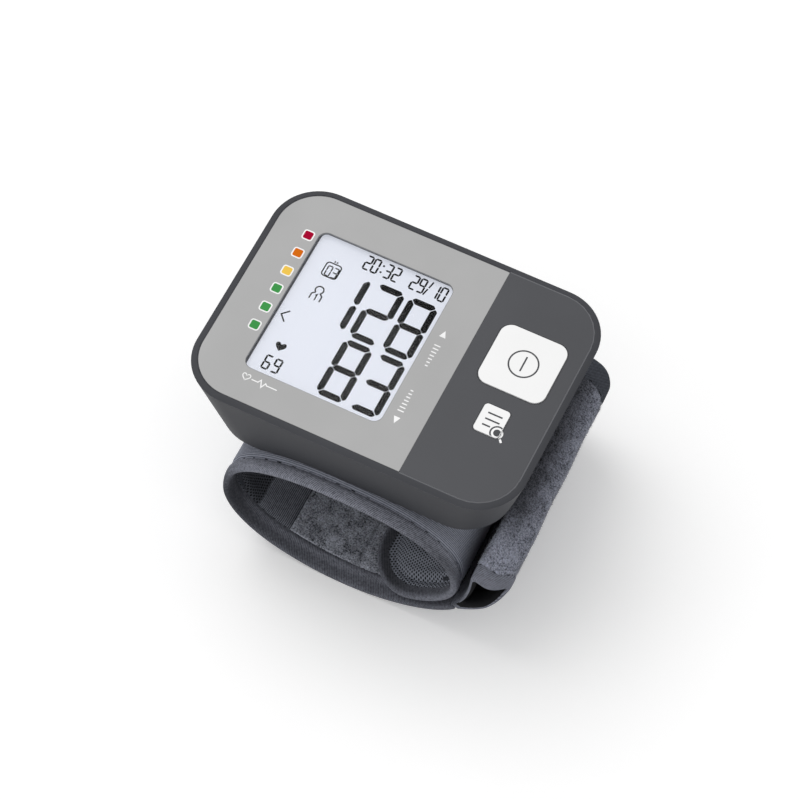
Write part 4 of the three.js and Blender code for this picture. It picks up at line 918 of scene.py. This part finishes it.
def make_strap():
    """The strap, and its outside, y and distance from the ends for what is sewn or brushed onto it."""
    rows = spread((EDGE_ROWS, EDGE_ROWS), 0, CUFF_WIDTH, step=1.6) / CUFF_WIDTH
    loops = [strap_loop(NEAR_REACH + (FAR_REACH - NEAR_REACH) * share) for share in rows]
    outside, inside, marks = (np.array(part) for part in zip(*loops))
    low, high = strap_ends(outside[..., 0])
    y = low + (high - low) * rows[:, None]
    d = np.minimum(y - low, high - y)
    middle = (outside + inside) / 2
    wave = 1 + 0.12 * np.sin(y * 0.33 + marks * 0.21) * smooth(d, 2, 9)
    seam = np.where(rows < 0.5, NEAR_HEM, FAR_HEM)[:, None]
    hem = 0.1 * smooth(d, 0.5, 2) * (1 - smooth(d, seam - 0.8, seam - 0.2)) - 0.3 * dimple(d, seam, 0.4)
    half_wall = (outside - middle) * (rolled(d, STRAP_ROLL) * (1 + hem))[..., None]
    outer, inner = middle + half_wall * wave[..., None], middle - half_wall
    points = two_faces(*(stacked(part[..., 0], y, part[..., 1]) for part in (outer, inner)))
    index = wrapped(np.arange(y.size).reshape(y.shape))
    faces = np.concatenate([quads(index, flip=True), quads(index) + y.size])
    far = (2 * np.arange(len(y) - 1) > len(y))[:, None]
    column = np.arange(LOOP_POINTS)
    brushed = (NAP_COLUMNS[0] < column) & (column < NAP_COLUMNS[1])
    hemmed = np.minimum(d[:-1], d[1:]) < seam[:-1] - LOOK_SLACK
    # The far hem takes a darker cloth, painted shade; the near hem takes the webbing.
    looks = np.where(hemmed, np.where(far, 3, 1), np.where(brushed, 0, 1)).ravel()
    # The inside faces (look 2) take the painted shade of the loop's hollow.
    strap = add_mesh("strap_loop", points * MM, faces, [VELOUR, WEBBING, HOLLOW_SHADE, FAR_HEM_SHADE])
    strap.data.polygons.foreach_set("material_index", np.concatenate([looks, np.full(looks.size, 2)]))
    set_lay(strap, marks, y)
    # Painted light and shade, stored on the strap's points.
    set_painted_light(strap, np.tile(strap_painted_light(outside[..., 0], y, marks / marks.max(1, keepdims=True)).ravel(), 2))
    rework(strap, lambda work: merge(work, 1e-7))
    rework(strap, face_outwards)
    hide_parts("closure_strap")
    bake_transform(strap)
    return outer, y, d


def strap_nap(outer, y, d):
    """Fibres over the velour, from the peak to past the outer fold."""
    rows = random.uniform(0, len(y) - 1.001, FIBRE_COUNT)
    columns = random.uniform(*FIBRE_COLUMNS, FIBRE_COUNT)
    i, j = rows.astype(int), columns.astype(int)
    fi, fj = (rows - i)[:, None], (columns - j)[:, None]
    solid = stacked(outer[..., 0], y, outer[..., 1])
    first = solid[i, j] * (1 - fi) + solid[i + 1, j] * fi
    second = solid[i, j + 1] * (1 - fi) + solid[i + 1, j + 1] * fi
    place = first * (1 - fj) + second * fj
    normal = np.cross(solid[i + 1, j] - solid[i, j], solid[i, j + 1] - solid[i, j])
    normal /= np.maximum(np.linalg.norm(normal, axis=1, keepdims=True), 1e-9)
    normal = outwards(normal, place, solid.reshape(-1, 3).mean(0))
    keep = d[i, j] > np.where(2 * i > len(y), FAR_HEM, NEAR_HEM)
    # The fibres take the same painted light and shade as the nap under them.
    lit = strap_painted_light(place[keep, 0], place[keep, 1], columns[keep] / (LOOP_POINTS - 1))
    fuzz("strap_fibres", place[keep] * MM, normal[keep], "closure_strap", STRAP_FIBRE,
         length=0.55, width=0.07, lean=1.0, lit=lit)


def strap_stitches(outer, y, d, far):
    """Stitch lines round the loop's outside, along the near or the far hem."""
    order = slice(None, None, -1) if far else slice(None)
    half = len(y) // 2
    loop, side, depth = outer[order][:half], y[order][:half], d[order][:half]
    seam = FAR_HEM if far else NEAR_HEM

    def at_hem(values):
        return np.array([np.interp(seam, depth[:, j], values[:, j]) for j in range(values.shape[1])])

    path = stacked(at_hem(loop[..., 0]), at_hem(side), at_hem(loop[..., 1]))
    tangent = np.gradient(path, axis=0)
    normal = unit(stacked(-tangent[:, 2], 0 * tangent[:, 0], tangent[:, 0]))
    normal = outwards(normal, path, path.mean(0))
    at = paced(np.concatenate([path, normal], 1)[STITCH_COLUMNS], SEAM_PITCH)
    both = np.stack([at(STRAP_STITCH * share) for share in ARCH], 1)
    line, up = both[..., :3], both[..., 3:]
    return (line + up * (0.05 - ARCH**2)[None, :, None]) * MM, up


# Hook tape on the face of the tongue that looks at the cuff

HOOK_LOW, HOOK_HIGH, HOOK_SIDE = 6.9, 17.0, 26.4
TAPE_GAP, TAPE_THICK, TAPE_ROWS, TAPE_COLUMNS = 0.32, 0.2, 16, 45
HOOK_SHAPE = ((0, 0), (-0.22, 0), (-0.34, 0.1), (-0.3, 0.24))
HOOK_PITCH, HOOK_INSET = 1.0, 0.6


def make_hook_tape():
    """A thin band with staggered rows of tiny hooks."""
    peak, tongue = ROOT + PEAK, ROOT + TONGUE
    curve = quadratic(ROOT_INNER, tongue, from_corner(peak, tongue, FOLD), 80)
    rise = np.linspace(HOOK_LOW, HOOK_HIGH, TAPE_ROWS) + ROOT[1]
    x = np.interp(rise, curve[:, 1], curve[:, 0]) - TAPE_GAP
    columns = np.linspace(-HOOK_SIDE, HOOK_SIDE, TAPE_COLUMNS)
    grid = stacked(*np.broadcast_arrays(x[:, None], columns, rise[:, None]))
    points = two_faces(grid, grid - [TAPE_THICK, 0, 0]) * MM
    index = np.arange(TAPE_ROWS * TAPE_COLUMNS).reshape(TAPE_ROWS, TAPE_COLUMNS)
    front = quads(index, flip=True)
    rim = np.concatenate([index[0], index[1:, -1], index[-1, -2::-1], index[-2:0:-1, 0]])
    edges = stacked(rim, np.roll(rim, -1))
    sides = np.concatenate([edges, edges[:, ::-1] + index.size], 1)
    faces = np.concatenate([front, front[:, ::-1] + index.size, sides])
    tape = add_mesh("hook_tape", points, faces, [HOOK], rounded=False)
    rework(tape, face_outwards)
    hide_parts("hook_patch")
    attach(tape, "closure_strap")
    hooks = []
    for i in range(TAPE_ROWS - 1):
        start = -HOOK_SIDE + HOOK_INSET + HOOK_PITCH / 2 * (i % 2)
        for place in np.arange(start, HOOK_SIDE - HOOK_PITCH / 2, HOOK_PITCH):
            foot = np.array([(x[i] + x[i + 1]) / 2 - TAPE_THICK, place, (rise[i] + rise[i + 1]) / 2])
            hooks.append([foot + [out, 0, up] for out, up in HOOK_SHAPE])
    hooks = np.array(hooks) * MM
    ups = np.broadcast_to([0.0, 1.0, 0.0], hooks.shape)
    make_threads("hook_tips", [(hooks, ups)], "closure_strap", thick=0.07, look=HOOK)


# Flat shapes, in millimetres on the front

def plates(name, shapes, level, heights, look, body):
    """Flat shapes, each a list of (x, y), as thin plates between two heights over a level (metres)."""
    low, high = (level + height * MM for height in heights)
    points, faces = [], []
    for shape in shapes:
        shape = np.asarray(shape, float)
        after = np.roll(shape, -1, 0)
        area = np.sum(shape[:, 0] * after[:, 1] - shape[:, 1] * after[:, 0])
        shape = shape if area > 0 else shape[::-1]
        base, count = len(points), len(shape)
        points += [(x * MM, y * MM, z) for z in (low, high) for x, y in shape]
        faces.append(tuple(base + count + i for i in range(count)))
        for i in range(count):
            k = (i + 1) % count
            faces.append((base + i, base + k, base + count + k, base + count + i))
    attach(add_mesh(name, points, faces, [look], rounded=False), body)


def ribbon(path, width, closed=False):
    """A line of set width along a path, as one quad per step with mitred joins."""
    path = np.asarray(path, float)
    after = np.roll(path, -1, 0) - path
    before = path - np.roll(path, 1, 0)
    if not closed:
        after[-1], before[0] = before[-1], after[0]
    after, before = unit(after), unit(before)
    way = unit(after + before)
    normal = stacked(-way[:, 1], way[:, 0])
    reach = width / 2 / np.maximum((normal * stacked(-after[:, 1], after[:, 0])).sum(1), 0.4)
    left, right = path + normal * reach[:, None], path - normal * reach[:, None]
    steps = [(i, (i + 1) % len(path)) for i in range(len(path) if closed else len(path) - 1)]
    return [[right[i], right[k], left[k], left[i]] for i, k in steps]


def arc(x, y, radius, start, end, count):
    """Points on a circle between two turns, which are counted from +X."""
    turn = np.radians(np.linspace(start, end, count))
    return stacked(x + radius * np.cos(turn), y + radius * np.sin(turn))


def ring(x, y, radius):
    return arc(x, y, radius, 0, 352.5, 48)


def round_box(x, y, width, height, radius, count=6):
    parts = []
    for turn, sx, sy in ((0, 1, 1), (90, -1, 1), (180, -1, -1), (270, 1, -1)):
        centre = x + sx * (width / 2 - radius), y + sy * (height / 2 - radius)
        parts.append(arc(*centre, radius, turn, turn + 90, count))
    return np.concatenate(parts)


def heart(x, y, width, height, count=36):
    t = np.linspace(0, 2 * np.pi, count, endpoint=False)
    hx = np.sin(t) * np.abs(np.sin(t)) ** 1.1
    hy = (13 * np.cos(t) - 5 * np.cos(2 * t) - 2 * np.cos(3 * t) - np.cos(4 * t)) / 16
    return stacked(x + hx * width / 2, y + (hy + 0.12) * height / 2)


def trimmed(shape, cut):
    """The shape with each corner cut off at a set distance along its two sides."""
    shape = np.asarray(shape, float)
    before, after = unit(np.roll(shape, 1, 0) - shape), unit(np.roll(shape, -1, 0) - shape)
    return np.stack([shape + before * cut, shape + after * cut], 1).reshape(-1, 2)


def clipped(shapes, limits):
    """Convex shapes cut back to where a * x + b * y is at most c, for each limit (a, b, c)."""
    kept = []
    for shape in shapes:
        shape = [np.asarray(point, float) for point in shape]
        for a, b, c in limits:
            over = [a * x + b * y - c for x, y in shape]
            inside = []
            for i, point in enumerate(shape):
                k = i - 1
                if over[i] * over[k] < 0:
                    share = over[k] / (over[k] - over[i])
                    inside.append(shape[k] + (point - shape[k]) * share)
                if over[i] <= 0:
                    inside.append(point)
            shape = inside
        if len(shape) >= 3:
            kept.append(shape)
    return kept


BARS = {"0": "abcdef", "1": "bc", "2": "abged", "3": "abgcd", "6": "afgedc", "8": "abcdefg", "9": "abfgcd"}
BAR_TRIM = 0.1


def digit(character, x, y, width, height, stroke):
    """Seven-bar numeral whose lower left corner is (x, y), with fine gaps between its bars."""
    w, h, t, m = width, height, stroke, height / 2
    top = [(0.86 * t, h), (w - 0.86 * t, h), (w - 0.46 * t, h - 0.42 * t),
           (w - 1.08 * t, h - t), (1.08 * t, h - t), (0.46 * t, h - 0.42 * t)]
    upright = [(w, h - 0.86 * t), (w, m + 0.4 * t), (w - 0.44 * t, m + 0.08 * t),
               (w - t, m + 0.58 * t), (w - t, h - 1.1 * t), (w - 0.4 * t, h - 0.5 * t)]
    bar = [(0.46 * t, m), (0.96 * t, m + t / 2), (w - 0.96 * t, m + t / 2),
           (w - 0.46 * t, m), (w - 0.96 * t, m - t / 2), (0.96 * t, m - t / 2)]

    def turned(shape, flip_x, flip_y):
        return [(w - px if flip_x else px, h - py if flip_y else py) for px, py in shape]

    shapes = {"a": top, "d": turned(top, 0, 1), "b": upright, "c": turned(upright, 0, 1),
              "f": turned(upright, 1, 0), "e": turned(upright, 1, 1), "g": bar}
    return [trimmed([(x + px, y + py) for px, py in shapes[key]], BAR_TRIM * t) for key in BARS[character]]


# Display

BIG, SMALL, TINY, RATE = (7.35, 15.7, 1.58), (1.8, 4.08, 0.44), (1.4, 2.96, 0.31), (1.9, 3.93, 0.45)
TOP_LINE = 15.38
DISPLAY_NUMBERS = (
    ("128", (-20.2, -11.6, -3.2), -1.85, BIG), ("83", (-11.65, -3.25), -18.3, BIG),
    ("2032", (-16.8, -14.85, -11.6, -9.55), TOP_LINE, SMALL), ("29", (-4.95, -3.0), TOP_LINE, SMALL),
    ("10", (0.35, 2.33), TOP_LINE, SMALL), ("03", (-23.85, -22.25), 10.0, TINY),
    ("69", (-25.6, -23.15), -18.08, RATE))
COLON = ((-12.3, 16.46), (-12.3, 18.27))
SLASH = (((-0.98, 15.4), (-0.56, 17.25)), ((-0.46, 17.6), (-0.08, 19.45)))
COUNT_BOX = (-22.56, 11.8, 3.74, 3.8, 0.7)
COUNT_TICKS = (((-22.85, 14.0), (-22.85, 14.5)), ((-22.25, 14.0), (-22.25, 14.5)))
HEAD = (-22.65, 5.95, 1.0, -55, 235, 26)
SHOULDERS = (((-23.2, 5.15), (-23.95, 4.5), (-23.95, 3.05)), ((-22.1, 5.15), (-21.35, 4.5), (-21.35, 3.05)))
USER_ONE = ((-22.95, 4.35), (-22.6, 4.65), (-22.6, 3.05))
POINTER = ((-26.1, -1.95), (-27.62, -3.5), (-26.1, -5.1))
RATE_HEART = (-23.8, -11.25, 2.6, 2.5)
# Display border and window liner, which paint the recess's shade.
MASK_BOX, MASK_WIDTH = (-11.575, 0.275, 35.55, 40.95, 2.0, 8), 1.2
LINER_BOX, LINER_WIDTH = (-11.725, -0.15, 34.37, 39.62, 2.2, 8), 0.06
DISPLAY_INK, MASK_HEIGHTS, LINER_HEIGHTS = (0.01, 0.03), (0.01, 0.05), (-0.58, -0.04)


def make_display():
    shapes = [heart(*RATE_HEART)] + [round_box(*place, 0.5, 0.5, 0.2) for place in COLON]
    for text, places, y, size in DISPLAY_NUMBERS:
        for character, x in zip(text, places):
            shapes += digit(character, x, y, *size)
    lines = [(path, 0.38) for path in SLASH] + [(path, 0.3) for path in (*COUNT_TICKS, USER_ONE)]
    lines += [(path, 0.33) for path in (arc(*HEAD), *SHOULDERS)] + [(POINTER, 0.36)]
    for path, width in lines:
        shapes += ribbon(path, width)
    shapes += ribbon(round_box(*COUNT_BOX), 0.3, closed=True)
    plates("display_marks", shapes, LCD_TOP, DISPLAY_INK, INK, "monitor")
    # A border round the display, whose grey shows only at the window's left and far edges, and a liner on
    # the window's wall: painted shade of the recess.
    edge = ribbon(round_box(*MASK_BOX), MASK_WIDTH, closed=True)
    plates("display_mask", edge, LCD_TOP, MASK_HEIGHTS, WINDOW_SHADE, "monitor")
    liner = ribbon(round_box(*LINER_BOX), LINER_WIDTH, closed=True)
    plates("window_shade_liner", liner, FACE, LINER_HEIGHTS, WINDOW_SHADE, "monitor")


# Seams and prints of the front

FRONT_LENGTH, FRONT_WIDTH, FRONT_CORNER, FRONT_SPLIT = 79.2, 57.2, 10.2, 14.9
KEY_X, KEYS = 27.75, ((8.2, 16.5, 16.5, 2.8), (-8.05, 6.3, 7.3, 0.9))
SEAM_HALF, RIM_BEAD, SPLIT_BEAD, KEY_BEAD, SPLIT_INSET = 0.15, 0.26, 0.17, 0.2, 0.1
SEAM_FILL, ON_FACE = (-0.5, -0.06), (0.004, 0.02)
SQUARE_X, SQUARE, SQUARE_CORNER, SQUARE_INK, SQUARE_INK_CORNER = -31.17, 2.75, 0.7, 2.1, 0.4
SQUARE_COLOURS = (
    ("red", (166, 4, 48), (16.97,)), ("orange", (217, 108, 16), (11.7,)),
    ("yellow", (243, 200, 84), (6.35,)), ("green", (66, 152, 78), (1.17, -4.3, -9.57)))
PULSE_HEART = (-26.6, -22.4, 1.9, 1.8)
PULSE = (
    (-25.2, -22.5), (-23.6, -22.5), (-23.1, -21.7), (-22.4, -23.4),
    (-21.8, -22.1), (-21.4, -22.5), (-18.8, -22.5))
SCALE_X, SCALES, SCALE_TICKS, TICK_PITCH = 8.4, ((-2.3, 8.8, 1), (-18.8, -8.6, -1)), 7, 0.95


def make_seam_beads():
    """Beads that fill the seams between the front plates and the rim to just under the face; beside the
    display the rim's bead is lighter, a painted highlight.
    """
    grow = 2 * SEAM_HALF
    outline = round_box(0, 0, FRONT_LENGTH + grow, FRONT_WIDTH + grow, FRONT_CORNER + SEAM_HALF, 8)
    rim = ribbon(outline, RIM_BEAD, closed=True)
    # Painted highlight along the rim's seam beside the display.
    plates("rim_highlight_bead", clipped(rim, ((-1, 0, -FRONT_SPLIT),)), FACE, SEAM_FILL, SEAM_HIGHLIGHT, "monitor")
    plates("rim_shade", clipped(rim, ((1, 0, FRONT_SPLIT),)), FACE, SEAM_FILL, HOUSING, "monitor")
    end = FRONT_WIDTH / 2 - SPLIT_INSET
    beads = ribbon([(FRONT_SPLIT, -end), (FRONT_SPLIT, end)], SPLIT_BEAD)
    for y, length, width, corner in KEYS:
        outline = round_box(KEY_X, y, length + grow, width + grow, corner + SEAM_HALF)
        beads += ribbon(outline, KEY_BEAD, closed=True)
    plates("seam_beads", beads, FACE, SEAM_FILL, CASE, "monitor")


def make_front_print():
    """Coloured squares on white ones, a heart with a pulse line, and a rising and a falling scale."""
    levels = [y for *_, places in SQUARE_COLOURS for y in places]
    signs = [round_box(SQUARE_X, y, SQUARE, SQUARE, SQUARE_CORNER) for y in levels]
    signs += ribbon(heart(*PULSE_HEART), 0.25, closed=True) + ribbon(PULSE, 0.28)
    for low, high, tip in SCALES:
        centre, span = (low + high) / 2, tip * (high - low)
        head = centre + span * 0.36
        foot = head - tip * 0.9
        signs.append([(SCALE_X - 0.8, foot), (SCALE_X + 0.8, foot), (SCALE_X, head + tip * 0.9)])
        for k in range(SCALE_TICKS):
            level = centre - span * 0.5 + tip * (k + 0.5) * TICK_PITCH
            half = 0.35 + 0.07 * k
            signs += ribbon([(SCALE_X - half, level), (SCALE_X + half, level)], 0.3)
    plates("front_print", signs, FACE, ON_FACE, PRINT, "monitor")
    for colour_name, colour, places in SQUARE_COLOURS:
        look = printed("print_" + colour_name, colour, 0.7, specular=0.04, spread=0.05)
        shapes = [round_box(SQUARE_X, y, SQUARE_INK, SQUARE_INK, SQUARE_INK_CORNER) for y in places]
        plates("print_" + colour_name, shapes, FACE, (0.02, 0.03), look, "monitor")


# Signs on the keys

START_SIGN, START_RADIUS, START_BAR, START_STROKE = (27.93, 8.13), 3.42, (6.1, 10.17), 0.38
MEMORY_LINES, MEMORY_STROKE = ((26.13, 29.67, -6.5), (26.13, 29.67, -8.1), (26.13, 28.1, -9.7)), 0.4
GLASS_PLACE, GLASS_SHADE, GLASS_RADIUS, GLASS_STROKE = (30.17, -10.4), 1.78, 1.14, 0.5
GLASS_HANDLE = ((31.35, -11.45), (31.95, -12.15))
MEMORY_CAP = ((1, 0, 30.8), (0, -1, 11.6), (1, -1, 41.95))
MEMORY_OPENING = ((-1, 0, -31.22),)
MEMORY_SEAL = ((-1, 0, -30.95), (1, 0, 31.15))


def make_key_marks():
    """The sign on each key. The memory key's magnifier goes on over the seam and the front plate."""
    start_top, memory_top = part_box("start_key")[1].z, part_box("memory_key")[1].z
    shapes = ribbon(ring(*START_SIGN, START_RADIUS), START_STROKE, closed=True)
    shapes += ribbon([(START_SIGN[0], y) for y in START_BAR], START_STROKE)
    plates("start_mark", shapes, start_top, (0.003, 0.015), MARK, "start_key")
    shapes = clipped([ring(*GLASS_PLACE, GLASS_SHADE)], MEMORY_CAP)
    for left, right, y in MEMORY_LINES:
        shapes += ribbon([(left, y), (right, y)], MEMORY_STROKE)
    plates("memory_mark", shapes, memory_top, (0.003, 0.012), MARK, "memory_key")
    glass = ribbon(ring(*GLASS_PLACE, GLASS_RADIUS), GLASS_STROKE, closed=True)
    plates("memory_glass", clipped(glass, MEMORY_CAP), memory_top, (0.012, 0.02), PRINT, "memory_key")
    handle = clipped(glass, MEMORY_OPENING) + ribbon(GLASS_HANDLE, GLASS_STROKE)
    plates("memory_handle", handle, FACE, ON_FACE, PRINT, "monitor")
    plates("memory_arc", clipped(glass, MEMORY_SEAL), FACE, (-0.056, -0.04), PRINT, "monitor")


HOUSING_EDGES = (("top_cover", 0.26), ("lower_body", 0.25), ("battery_cover", 0.2))
OTHER_EDGES = (("display_fascia", 0.12), ("start_key", 0.25), ("memory_key", 0.15), ("display_lens", 0.1))

make_camera()
make_world()
make_lamp("key", (-0.35, 0.14, 0.95), 0.7, 3.4)
make_lamp("fill", (-0.7, -0.5, 0.6), 0.6, 0.35)
dress_nodes()
make_floor()

# Housing and keypad: bevels in a lighter tone, a painted highlight.
for solid_name, edge in HOUSING_EDGES:
    refine(solid_name, edge, (HOUSING, EDGE_HIGHLIGHT))
refine("keypad_fascia", 0.2, (CASE, EDGE_HIGHLIGHT))
for solid_name, edge in OTHER_EDGES:
    refine(solid_name, edge)

make_cuff()
make_threads("cuff_outer_stitches", [cuff_stitches(OUTER_SEAM, outer_out, 1, OUTER_STITCH)], "monitor")
make_threads("cuff_inner_stitches", [cuff_stitches(INNER_SEAM, inner_out, -1, INNER_STITCH)], "monitor")
make_loop_patch()
strap = make_strap()
strap_nap(*strap)
make_threads("strap_stitches", [strap_stitches(*strap, far) for far in (False, True)], "closure_strap")
make_hook_tape()
make_display()
make_seam_beads()
make_front_print()
make_key_marks()
